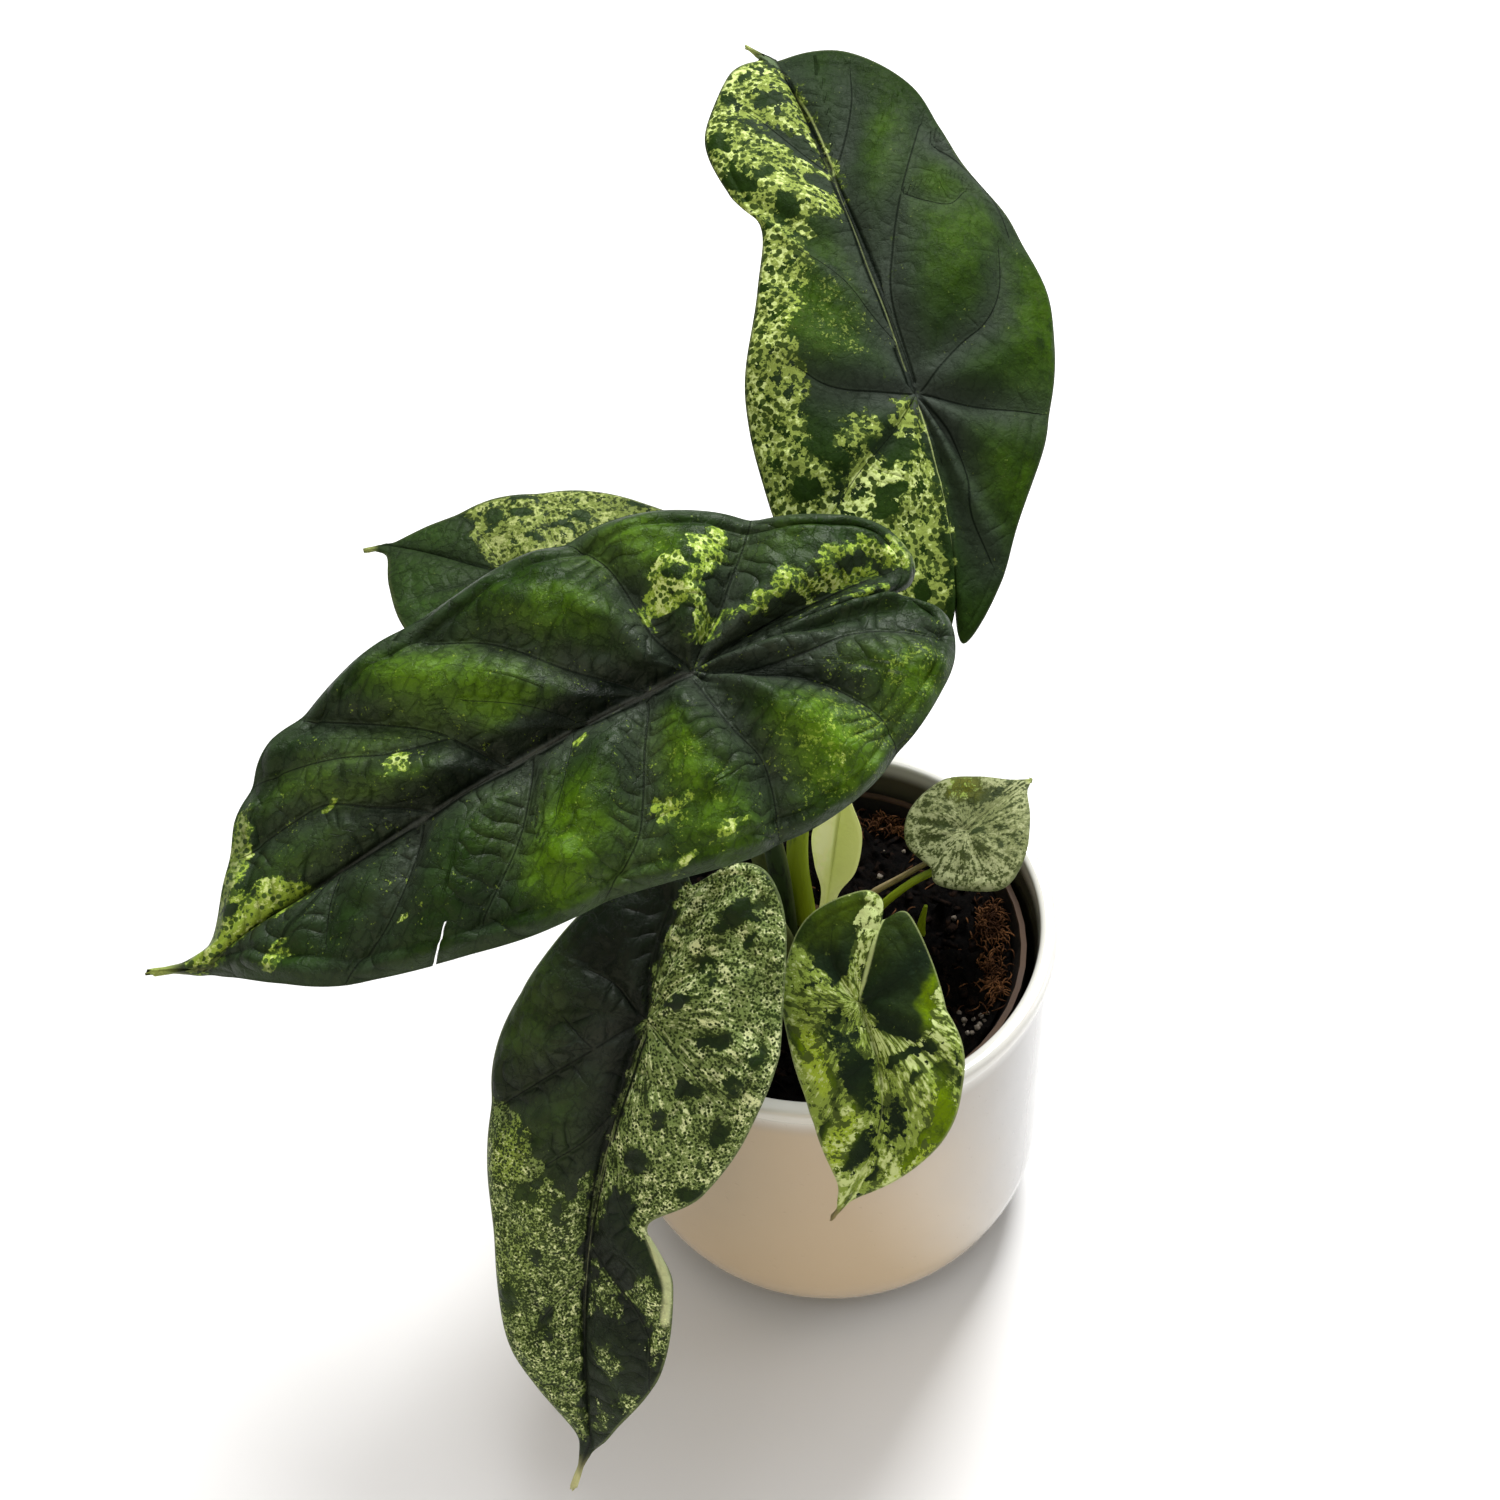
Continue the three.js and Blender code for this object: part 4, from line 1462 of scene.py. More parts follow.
LARGE = LeafForm(
    name="large_leaf", at=(-25, -37, 238), heading=-155, pitch=-7, roll=-20, bend=0.21, back=0.2, sway=-1,
    tail=4, length=113, sinus=43, tip=(124, -6), puff=3, stations=(0, 0, 0, 8, 38, 61),
    left=HalfForm(
        20, 1.3,
        ((-51, 8), (-44, 22), (-21, 38), (1, 42), (34, 36), (59, 32), (87, 22), (100, 13), (111, 3)),
        (0.9, 2.5, 4, 5, 6.1, 7),
    ),
    right=HalfForm(
        20, 0.7,
        (
            (-50, 2), (-52, 8), (-47, 16), (-29, 23), (-10, 33), (13, 37), (46, 35), (76, 31), (89, 24),
            (99, 13), (109, 4),
        ),
        (2, 4.3, 6, 7, 8, 9),
    ),
    stalk=StalkForm(
        ((-9, 1, 102.2), (-10, -2, 130), (-13, -8, 160), (-20, -21, 197), (-26, -31, 223)), 2.8, 1.8,
    ),
)

LEFT = LeafForm(
    name="left_leaf", at=(-50, 31, 196), heading=159, pitch=14, roll=-8, bend=0.34, back=0.2, sway=0,
    tail=-6, length=52, sinus=24, tip=(57, 3), puff=2, stations=(0, 0, 5, 24),
    left=HalfForm(
        16, 1, ((-31, 10), (-18, 29), (4, 35), (24, 31), (37, 23), (45, 13), (50, 4)), (1.3, 2.5, 3.6, 4.8),
    ),
    right=HalfForm(
        16, 1, ((-31, 12), (-22, 26), (-6, 33), (12, 31), (31, 20), (42, 9), (50, 2)), (1.3, 2.6, 4, 5.1),
    ),
    stalk=StalkForm(((-11.5, 6.8, 101.4), (-17, 9, 135), (-34, 19, 166), (-51, 33, 183)), 2.3, 1.5),
)

LOW = LeafForm(
    name="low_leaf", at=(-43, -55, 146), heading=-111, pitch=-42, roll=0, bend=0.24, back=0.3, sway=-5,
    tail=4, length=105, sinus=32, tip=(122, -4), puff=2.2, stations=(0, 0, 0, 12, 30, 56),
    left=HalfForm(
        20, 1.3,
        (
            (-39, 8), (-37, 17), (-25, 26), (-2, 32), (20, 31), (35, 25), (45, 14), (57, 22), (80, 20),
            (100, 7),
        ),
        (1.3, 2.8, 4.2, 5.4, 6.8, 8.7),
    ),
    right=HalfForm(
        20, 1.3, ((-38, 8), (-23, 20), (-9, 27), (9, 33), (28, 30), (55, 23), (79, 19), (92, 12), (104, 4)),
        (1.1, 2.5, 4, 5, 6, 7),
    ),
    stalk=StalkForm(((-8, -5.5, 101.3), (-14, -11, 124), (-26, -29, 135), (-38, -45, 135)), 2.5, 1.6),
)

FRONT = LeafForm(
    name="front_leaf", at=(5, -53, 144), heading=-101, pitch=-43, roll=0, bend=0.44, back=0.5, sway=6.5,
    tail=4, length=46, sinus=19, tip=(52, -4), puff=1.6, stations=(0, 0, 4, 20),
    left=HalfForm(14, 1.4, ((-21, 5), (-9, 16), (5, 21), (20, 18), (32, 14), (41, 8)), (1.2, 2.4, 3.7, 4.9)),
    right=HalfForm(
        24, 2, ((-24, 3), (-25, 9), (-18, 17), (-3, 18), (15, 20), (30, 14), (43, 4)), (2, 3.3, 4.7, 5.7),
    ),
    stalk=StalkForm(((-2, -4.5, 101.6), (0, -13, 121), (4, -30, 134), (6, -44, 136)), 2.1, 1.3),
)

SMALL = LeafForm(
    name="small_leaf", at=(38, 10, 127), heading=32, pitch=22, roll=0, bend=0.8, back=0.2, sway=0, tail=-1,
    length=19, sinus=13, tip=(22, 0), puff=0.7, stations=(0, 0, 4),
    left=HalfForm(10, 1, ((-13, 10), (-6, 16), (5, 16), (12, 10), (17, 4)), (1, 2, 3)),
    right=HalfForm(10, 1, ((-15, 4), (-11, 12), (-4, 19), (5, 17), (13, 10), (18, 3)), (1.5, 3, 4.2)),
    stalk=StalkForm(((13, 7, 85), (14, 7, 99), (23, 7, 111), (37, 9, 119)), 1.2, 0.9),
)

YOUNG = LeafForm(
    name="young_leaf", at=(0, 1.5, 102.3), heading=57, pitch=70, roll=25, bend=0.2, back=0.2, sway=0, tail=0,
    length=38, sinus=0.5, tip=(42, 0), puff=0.2, stations=(12, 24),
    left=HalfForm(35, 5, ((2, 1.6), (12, 2), (20, 5), (29, 6.8), (37, 3.4)), (2, 3.5)),
    right=HalfForm(35, 5, ((2, 2), (12, 3), (20, 6.5), (30, 6.5), (37, 3)), (2, 3.5)),
)

TALL_MARKING = Marking(
    veins=(
        Line((3, -1, 23, -2, 35, -6, 49, -13, 68, -25), 1.1),
        Line((49, -13, 46, -19, 44, -24, 47, -29), 0.7),
        Line((0, -1, 8, -13, 12, -21, 19, -27, 30, -31), 0.9), Line((0, -1, -7, -12, -12, -27), 1.2),
        Line((-1, -1, -11, -5, -21, -6, -31, -6, -42, -9), 1.0),
        Line((64, -3, 72, -8, 80, -12, 89, -15), 0.9), Line((61, -27, 55, -32, 46, -36, 33, -36), 1.1),
        Line((0, 0, 2, 9, 4, 16, 7, 21, 12, 25), 1.1), Line((14, 1, 21, 5, 30, 9, 40, 16), 0.5),
        Line((61, 0, 66, 4, 74, 9, 84, 14), 0.8), Line((0, 0, -8, 9, -16, 20, -26, 30), 0.4),
    ),
    patches=(
        Patch(
            (
                114, 8, 94, -1, 84, -2, 60, -2, 51, 0, 45, 5, 48, 8, 42, 14, 38, 14, 33, 17, 19, 24, 8, 24,
                0, 28, -8, 28, -16, 22, -4, 21, -2, 12, -1, 2, -9, 1, -44, 1, -50, 6, -62, 12, -50, 34,
                -28, 44, -8, 48, 12, 46, 34, 34, 49, 28, 62, 33, 82, 32, 100, 20,
            ),
            0.95,
        ),
    ),
    holes=(
        Spot(82, 15, 34, 24, 0, 0.06), Spot(85, 8, 3.6, 2.2, 80), Spot(88, 17, 2.2, 1.4),
        Spot(70, 6, 7.5, 2.1, 35), Spot(75, 23, 2.6, 2, 20), Spot(62, 23, 3.6, 2, 50), Spot(51, 15, 3, 2.2),
        Spot(78, 14, 2.4, 1.5, 20), Spot(58, 5, 4.6, 2.4, 60), Spot(92, 1, 2.6, 1.5, 60),
        Spot(62, 16, 2.6, 1.4, 70), Spot(-15, 31, 3.4, 2.6, 60), Spot(-12, 9, 5.6, 2.6, 70),
        Spot(-23, 14, 5.5, 2.2, 135), Spot(-3, 9, 2, 1.5, 60), Spot(-7, 10, 2.4, 1.7),
        Spot(-46, 9, 4, 1.4, 170),
    ),
    glows=(
        Spot(90, -21, 10, 6, 20, 0.7), Spot(64, -15, 13, 4.5, 155, 0.9), Spot(41, -23, 19, 8.5, 165, 1.1),
        Spot(10, -36, 20, 9, 10, 1.1), Spot(-10, -26, 9, 8, 0, 0.5), Spot(-28, -16, 13, 7, 20, 0.8),
        Spot(25, 15, 14, 8, 150, 1.5),
    ),
    lines=(
        Line((90, 0.4, 82, -1, 73, -1.4, 62, -1, 52, 0.2, 32, 0.6, 6, 0.5), 0.25),
        Line((-3, 0.5, -11, 0.3, -21, 0.3, -30, 0.3, -37, 0.4), 0.25),
    ),
    flecks=(Patch((37, 15, 30, 8, 15, 4, 8, 10, 12, 20, 22, 23), 1.0, 4.0),),
    # A spot of painted shade near the tip, where the blade faces up.
    shades=(Spot(92, -25, 17, 12, 150, 0.4),), quilt=0.7, puff=0.8, flank=1.7, glow=0.3,
)

LARGE_MARKING = Marking(
    veins=(
        Line((0, -1, 4, -8, 4, -16, 4, -22, 5, -28, 9, -36), 1.1),
        Line((11, -1, 17, -6, 23, -12, 32, -23, 43, -30), 1.1),
        Line((42, -1, 46, -7, 50, -13, 58, -20, 71, -30), 1.1),
        Line((59, -1, 67, -6, 75, -12, 83, -13, 94, -13), 1.1),
        Line((48, -10, 59, -13, 68, -18, 77, -22, 87, -25), 0.8),
        Line((-1, -1, -9, -6, -15, -12, -21, -18, -27, -25), 1.0),
        Line((-2, -1, -16, -2, -29, -2.4, -44, -4), 1.2),
        Line((-1, 2, -10, 7, -18, 12, -24, 20, -27, 27, -27, 34), 1.1),
        Line((-3, 3, -12, 6, -22, 8, -33, 9, -46, 14), 1.1),
        Line((1, 3, 1, 10, 0, 17, -2, 24, -1, 31, 2, 40), 1.0),
        Line((11, 2, 17, 12, 22, 21, 27, 28, 37, 34), 1.0), Line((36, 1, 41, 9, 48, 17, 60, 26), 0.9),
        Line((61, 1, 66, 8, 71, 13, 78, 17, 88, 20), 1.0), Line((80, 1, 84, 6, 88, 12), 0.6),
        Line((26, 0, 31, 8, 37, 15), 0.3), Line((24, 0, 32, -8, 42, -15), 0.3),
    ),
    patches=(
        Patch(
            (
                -2, -4, -5, -10, -2, -12, 3, -10, 5, -14, 2, -15, -2, -20, -7, -21, -10, -18, -12, -23,
                -18, -21, -14, -16, -9, -15, -8, -8, -12, -6, -6, -4,
            ),
            1.0, 1.2,
        ),
        Patch((-6, -3, -12, -4.5, -17, -8, -20, -7.5, -25, -11.5, -28, -8, -22, -4.5, -14, -4.5), 0.8, 1.2),
        Patch(
            (
                -26, -7, -27, -3.5, -39, -3.5, -46, -6, -56, -2, -56, -10, -46, -11, -35, -12.5, -31, -10,
                -32, -8,
            ),
            1.0, 1.4,
        ),
        Patch((-23, -1.2, -43, -1.6, -43, -0.2, -23, -0.4), 0.7, 0.7),
        Patch(
            (
                92, -22, 88, -20, 92, -13, 95, -12, 90, -5, 84, 0, 89, 1.4, 98, 1, 116, 0, 116, -4, 106, -8,
                99, -15,
            ),
            1.0, 1.6,
        ),
    ),
    islands=(
        Spot(59, -11, 3, 2), Spot(-17, -22, 3, 1.6, 60), Spot(18, 25, 3.6, 2.2), Spot(10, 33, 2.4, 1.4),
        Spot(20, 35, 3.2, 1.3, 20), Spot(26, 4, 1.6, 1), Spot(71, 17, 2, 1.4), Spot(97, 9, 3.4, 1.8),
        Spot(75, -11, 1.6, 1.2), Spot(-18, 25, 3.2, 2.2, 20, 0.46), Spot(-13, 31, 4, 2, 20, 0.44),
    ),
    holes=(
        Spot(95, -8, 3.4, 1.8), Spot(101, -5, 2, 1), Spot(-5, -16.5, 1.8, 1.6), Spot(-40, -8, 5.5, 1.5, 175),
    ),
    glows=(
        Spot(0, -28, 9, 6, 150, 0.9), Spot(18, -20, 10, 6, 160, 0.55), Spot(33, -12, 9, 5, 160, 0.9),
        Spot(26, -24, 9, 6, 160, 0.4), Spot(42, -16, 17, 8, 160, 0.8), Spot(45, -25, 11, 4, 160, 0.6),
        Spot(24, -5, 10, 3, 160, 0.4), Spot(11, 25, 7, 14, 5, 0.95), Spot(12, 14, 4, 7, 0, 0.7),
        Spot(40, 23, 8, 15, 20), Spot(29, 21, 6, 13, 20, 0.55), Spot(-16, 28, 10, 8, 20, 1.5),
        Spot(-12, 20, 8, 6, 20, 0.6), Spot(-37, 24, 8, 8, 0, 1.2), Spot(-32, 14, 8, 4, 0, 0.5),
        Spot(70, -17, 13, 4.5, 170, 0.8), Spot(66, -10.5, 11, 3, 165, 0.9), Spot(-24, -18, 9, 5, 170, 0.4),
        Spot(84, -6, 8, 4, 170, 0.4),
    ),
    flecks=(
        Patch((-45, 12, -10, 14, 4, 40, -28, 42, -50, 24), 1.0, 5.0),
        Patch((6, 10, 22, 12, 26, 34, 4, 36), 0.8, 5.0),
        Patch((100, -20, 40, -36, -30, -30, -40, 36, 40, 36, 100, 16), 0.3, 9.0),
    ),
    # Spots of painted shade beside the midrib and veins, where folds shade the blade.
    shades=(
        Spot(22, -3.4, 19, 3, 0), Spot(46, -3.2, 18, 2.8, 0, 0.8), Spot(16, -2, 14, 2.4, 160, 0.6),
        Spot(-16, 10, 13, 2, 140, 0.7), Spot(57, -11, 14, 2, 165, 0.5), Spot(6, 14, 12, 1.6, 95, 0.35),
    ),
    quilt=1.7, puff=1.2, roll=1.0, glow=0.08, rim_width=3.2, rim_strength=0.6, flank=1.75,
    slit=(1.0, 6.45, 0.8),
)

LEFT_MARKING = Marking(
    veins=(
        Line((0, -1, -2, -14, -1, -26), 0.8), Line((4, -1, 14, -12, 22, -24), 0.8),
        Line((22, -1, 32, -9, 42, -14), 0.8), Line((0, 1, 0, 14, 4, 28), 0.8),
        Line((4, 1, 12, 12, 24, 24), 0.8), Line((22, 1, 30, 9, 38, 15), 0.8),
    ),
    patches=(
        Patch(
            (
                40, -17, 39, -13, 34, -12, 32, -7, 28, -3, 20, 2, 2, 4, -30, 4, -40, -14, -28, -34, -6, -40,
                14, -37, 34, -26,
            ),
            1.0, 1.4,
        ),
    ),
    holes=(
        Spot(29, -14, 3, 2.2), Spot(24, -17, 2, 1.5), Spot(10, -21, 2.4, 2.4), Spot(12, -16.5, 2.4, 1),
        Spot(17, -11, 2, 1.4), Spot(26, -22, 5, 1), Spot(0, -31, 2.6, 1),
    ),
    glows=(Spot(34, 14, 12, 6, 160, 0.8), Spot(44, -4, 6, 4, 0, 0.5)), quilt=0.5, glow=0.3,
)

LOW_MARKING = Marking(
    veins=(
        Line((0, -0.5, -8, -1.5, -16, -2, -27, -2.5), 1.1), Line((0, -1, -4, -5, -7, -9, -9, -16), 1.0),
        Line((0, -1, 7, -8, 12, -13, 18, -19, 26, -27), 1.2), Line((8, -9, 6, -13, 3, -18), 0.8),
        Line((22, -1, 29, -5, 36, -12), 0.8), Line((55, 1, 60, 7, 65, 13, 73, 17, 86, 17), 1.1),
        Line((62, 0, 68, -5, 75, -10), 0.8), Line((30, 1, 40, 6, 48, 14), 0.3),
        Line((0, 1, 6, 12, 14, 26), 0.2),
    ),
    patches=(
        Patch(
            (
                -36, -2, -42, 10, -30, 28, -12, 34, 10, 36, 31, 31, 42, 20, 49, 15, 45, 10, 38, 9, 38, 4,
                46, 3, 50, 0, 40, -1, 21, 0, -2, -0.6, -27, -1,
            ),
            1.0, 1.2,
        ),
        Patch((56, 16, 61, 11, 66, 14, 70, 18, 75, 16, 80, 18, 74, 23, 60, 24), 0.85, 1.2),
        Patch((56, 0, 57, 5, 65, 11, 70, 10, 69, 5, 62, 2), 0.7, 1.0),
        Patch((77, 2, 75, 8, 80, 11, 84, 10, 83, 5), 0.7, 1.0),
        Patch((90, 8, 86, 12, 88, 16, 93, 13, 95, 9), 0.8, 1.0),
        Patch((96, 1, 90, 4, 94, 8, 104, 3), 0.6, 1.0),
        Patch(
            (
                24, -30, 28, -20, 32, -16, 37, -13, 42, -14, 39, -10, 43, -6, 39, -4, 34, -1, 44, -0.5,
                73, -0.4, 106, -0.4, 104, -12, 82, -24, 60, -30, 37, -34,
            ),
            0.86, 1.2,
        ),
    ),
    islands=(Spot(47, 1.5, 6, 1.2, 175, 0.8), Spot(68, 2, 4, 1.4, 170, 0.6)),
    holes=(
        Spot(-28, 14, 5.4, 2.2, 130), Spot(-23, 19, 1.9, 1.2), Spot(-16, 11, 2.3, 1.4, 100),
        Spot(-12, 14, 1.7, 1), Spot(-6, 7, 2.3, 1.4, 100), Spot(0, 18, 1.2, 4.7, 5), Spot(12, 15, 2, 1.9),
        Spot(20, 11, 1.6, 1.4), Spot(2, 28, 2.2, 1.7), Spot(8, 25, 1.3, 2.9), Spot(20, 25, 2.4, 2.3),
        Spot(30, 7.5, 3, 2.9), Spot(35, 22, 1.7, 2.6), Spot(75, -9, 3.3, 1.4, 170), Spot(44, -16, 1.2, 2.9),
        Spot(57, -11, 2.2, 1.4), Spot(47, -7, 2.9, 1.6, 20), Spot(70, -17, 4.3, 2.4, 160, 0.6),
    ),
    glows=(
        Spot(2, -25, 16, 8, 0, 1.2), Spot(30, -14, 12, 8, 0, 0.7), Spot(35, -23, 9, 5, 0, 1.2),
        Spot(60, -16, 22, 9, 165, 0.9),
    ),
    lines=(
        Line((24, 0.4, 38, 0.2, 60, 0.2, 92, 0.2), 0.22),
        Line((42, 17, 45.5, 14.6, 50, 17, 57, 20.8, 66, 21), 1.2),
    ),
    # Spots of painted shade: the rear of the blade, beside the midrib, and a panel near the tip.
    shades=(Spot(-22, -12, 17, 11, 0, 0.9), Spot(-2, -2.2, 34, 2.2, 0, 0.8), Spot(62, 8, 18, 7, 15, 0.55)),
    quilt=0.9, flank=2.3, glow=0.25, rim_width=0.6,
)

FRONT_MARKING = Marking(
    veins=(
        Line((0, -1, 8, -7, 13, -11, 22, -17), 0.6), Line((0, 1, 5, 8, 12, 13, 17, 18), 0.5),
        Line((12, -1, 18, -9, 27, -13), 0.7), Line((20, 0, 28, 6, 33, 9), 0.7),
        Line((-1, -1, -8, -7, -16, -10), 0.4), Line((-1, 1, -6, 8, -12, 13), 0.3),
    ),
    patches=(
        Patch(
            (
                -14, -26, -12, -16, -10, -13.5, -6, -8.5, -4, -6.5, -9, -3.5, -14, -4, -19, -6, -27, -8,
                -27, -0.5, -10, 0.2, -1, 0.4, 4, 2.5, 6.5, 6, 7.5, 10, 6, 13, 3, 15, 0, 16.5, -6, 17.5,
                -6, 26, 20, 28, 44, 16, 52, 2, 56, -6, 44, -10, 30, -20, 10, -26,
            ),
            1.0, 0.9,
        ),
    ),
    holes=(
        Spot(16.5, -5, 6.5, 3.6, 8, 0.95), Spot(20, -10.6, 5.6, 1.3, 5, 0.8),
        Spot(34, -3.4, 5, 2.3, 0, 0.85), Spot(4.5, -7.5, 6.5, 6, 0, 0.46), Spot(9, -17.4, 4.6, 1.2, 12, 0.8),
        Spot(25, 3.6, 5.4, 2.6, 0, 0.75), Spot(12, 4.6, 0.9, 2, 30), Spot(10, 8, 0.7, 2.6, 25),
        Spot(14.5, 9, 0.7, 2.4, 30, 0.8), Spot(13, 15.4, 1.3, 1.9, 20), Spot(15.5, 18, 1.2, 1.1, 20),
        Spot(8, 13, 0.6, 2.2, 20), Spot(29.5, 10.4, 2.4, 0.9), Spot(34, 9.2, 2, 0.8), Spot(24.5, 14, 8, 2.6),
        Spot(40, 3, 2.5, 0.8), Spot(29, -12.6, 3, 1),
    ),
    glows=(
        Spot(-19, -11, 6, 5, 0, 0.3), Spot(-5, 16, 8, 1.6, 170, 1.2), Spot(24.5, 14, 9, 3.4, 0, 2.6),
        Spot(36, 9, 6, 3, 160, 1.6), Spot(13, -14, 8, 3, 5, 2.2), Spot(-7, -16, 5, 2.4, 0, 0.8),
        Spot(34, -9, 6, 2.4, 15, 1.8), Spot(27, -7, 4, 2.5, 0, 1.5),
    ),
    lines=(Line((-1, 0.3, -7, 0.8, -13, 0.8, -20, 0.2), 0.45), Line((0, 0.3, 8, 0, 17, 0, 30, 0.2), 0.3)),
    quilt=0.6, glow=0.15, rim_width=0.55,
)

SMALL_MARKING = Marking(
    patches=(Patch((-30, -30, 30, -30, 30, 30, -30, 30)),),
    holes=(
        Spot(8.5, 4, 3.2, 1.5, 160, 0.75), Spot(13, 2.4, 1.6, 1.1, 0, 0.7), Spot(3.4, 11, 1.5, 1, 30, 0.7),
        Spot(0.6, 8, 1.2, 0.9, 0, 0.6), Spot(8, 9.6, 3.4, 4, 0, 0.5), Spot(-3.4, 6, 1.1, 3.4, 30, 0.55),
        Spot(-7, 4.6, 3, 1, 150, 0.55), Spot(-5.4, 10, 1.2, 2, 40, 0.6), Spot(-2, 13, 0.9, 1.1, 0, 0.6),
        Spot(1.6, -2.4, 1.8, 0.8, 140, 0.55), Spot(6.4, -6, 1.6, 0.9, 120, 0.6),
        Spot(-1, -7, 1, 1.6, 20, 0.6), Spot(3, -10, 1.4, 0.8, 60, 0.5), Spot(-5, -5, 1.5, 0.9, 60, 0.5),
    ),
    islands=(Spot(8, -3, 2.4, 1.6, 0, 1.2),), glows=(Spot(8, 10, 4.4, 5, 0, 1.6),), quilt=0.25, glow=0.2,
)
# The glow spots paint the lighter lit half of the young leaf's fold, and the shade spot paints the shade
# along the fold.
YOUNG_MARKING = Marking(
    glows=(Spot(25, 4, 16, 3.4, 0, 1.3), Spot(6, 0, 8, 4, 0)), shades=(Spot(26, 0.3, 13, 0.7, 2, 0.8),),
    quilt=0.3, glow=0.1,
)

TALL_FINISH = BladeFinish(
    name="tall_leaf_skin", vein=(0.01, 0.015, 0.011), shade_and_sheen=(0.05, 0.06, 0.05), flesh=(0.011, 0.027, 0.004),
    glow=(0.034, 0.076, 0.004), half=(0.05, 0.08, 0.014), tint=(0.25, 0.32, 0.065), pale=(0.58, 0.68, 0.25),
    rim=(0.06, 0.08, 0.035), grain=1.05, cover=0.88, ragged=1.9, gloss=0.5, pleated=0.4, veined=1.0,
    ridged=0.8, haze=0.8, rays=0.3, sheen=0.03, lace=0.24, blotch=0.85, chalk=0.09, net=0.18,
)
LARGE_FINISH = BladeFinish(
    name="large_leaf_skin", vein=(0.075, 0.08, 0.066), shade_and_sheen=(0.048, 0.058, 0.044),
    flesh=(0.009, 0.028, 0.002), glow=(0.084, 0.18, 0.002), half=(0.12, 0.21, 0.024), tint=(0.3, 0.43, 0.05),
    pale=(0.64, 0.76, 0.26), rim=(0.036, 0.056, 0.028), spike=(0.34, 0.42, 0.1), grain=0.8, cover=0.9,
    ragged=1.6, pleated=1.0, pitch=4.6, veined=0.9, rays=0.15, sheen=0.11, lace=0.2, chalk=0.08,
)
LEFT_FINISH = BladeFinish(
    name="left_leaf_skin", vein=(0.018, 0.03, 0.016), shade_and_sheen=(0.02, 0.032, 0.014), flesh=(0.022, 0.04, 0.012),
    glow=(0.035, 0.08, 0.012), half=(0.05, 0.07, 0.012), tint=(0.18, 0.23, 0.05), pale=(0.38, 0.43, 0.15),
    rim=(0.06, 0.08, 0.03), grain=0.9, cover=0.84, chalk=0.08, pleated=0.4, ridged=0.5, haze=0.6, rays=0.15,
    sheen=0.05, lace=0.12, blotch=0.6,
)
LOW_FINISH = BladeFinish(
    name="low_leaf_skin", vein=(0.005, 0.008, 0.005), shade_and_sheen=(0.038, 0.043, 0.036),
    flesh=(0.007, 0.021, 0.002), glow=(0.04, 0.074, 0.012), half=(0.032, 0.054, 0.008),
    tint=(0.21, 0.29, 0.08), pale=(0.8, 0.87, 0.45), rim=(0.14, 0.18, 0.07), spike=(0.62, 0.62, 0.3),
    grain=0.48, cover=0.76, ragged=1.9, pleated=1.2, veined=1.0, ridged=0.8, haze=0.8, drift=0.1, rays=0.65,
    sheen=0.15, lace=0.2, blotch=0.3, spread=60.0, chalk=0.075, gloss=0.5,
)
FRONT_FINISH = BladeFinish(
    name="front_leaf_skin", vein=(0.014, 0.022, 0.012), shade_and_sheen=(0.01, 0.019, 0.009),
    flesh=(0.011, 0.022, 0.009), glow=(0.15, 0.25, 0.002), half=(0.075, 0.11, 0.022),
    tint=(0.26, 0.36, 0.06), pale=(0.62, 0.73, 0.3), rim=(0.28, 0.33, 0.13), spike=(0.26, 0.22, 0.1),
    lime=(0.4, 0.55, 0.04), grain=0.8, cover=0.8, ragged=2.4, pleated=0.25, veined=0.4, ridged=0.4, haze=0.9,
    drift=0.4, rays=0.9, sheen=0.05, lace=0.05, blotch=0.5, spread=75.0, chalk=0.07, net=0.15,
)
SMALL_FINISH = BladeFinish(
    name="small_leaf_skin", vein=(0.045, 0.06, 0.022), shade_and_sheen=(0.055, 0.075, 0.03),
    flesh=(0.035, 0.052, 0.016), glow=(0.16, 0.17, 0.012), half=(0.07, 0.09, 0.028), tint=(0.22, 0.25, 0.1),
    pale=(0.39, 0.42, 0.21), rim=(0.15, 0.18, 0.07), grain=0.8, cover=0.7, gloss=0.5, pleated=0.0,
    veined=0.1, ridged=0.2, rays=0.45, lace=0.03,
)
# The young leaf's emission paints in light passing through it, and its glow colour is the lit half of its
# fold.
YOUNG_FINISH = BladeFinish(
    name="young_leaf_skin", vein=(0.5, 0.55, 0.14), shade_and_sheen=(0.58, 0.63, 0.18), flesh=(0.66, 0.71, 0.2),
    glow=(0.86, 0.88, 0.42), half=(0.74, 0.78, 0.26), tint=(0.76, 0.8, 0.27), pale=(0.82, 0.85, 0.32),
    rim=(0.82, 0.85, 0.35), under=(0.76, 0.8, 0.3), grain=3.0, gloss=0.5, pleated=0.0, veined=0.1,
    crease_and_shade=(0.3, 0.34, 0.08), lit=0.28, net=0.0,
)

OLIVE = StalkFinish("olive_stalk", (0.34, 0.46, 0.01), (0.16, 0.24, 0.006), 0.3)
DARK_GREEN = StalkFinish("dark_green_stalk", (0.025, 0.05, 0.01), (0.01, 0.018, 0.006), 0.6)
SPECKLED = StalkFinish("speckled_stalk", (0.14, 0.17, 0.05), (0.04, 0.05, 0.02), 0.5)
PINKISH = StalkFinish("cream_strip", (0.42, 0.33, 0.17), (0.24, 0.17, 0.06), 0.4)

FINE = Weave(200, 92)
MEDIUM = Weave(150, 66)
SMALL_WEAVE = Weave(90, 40)


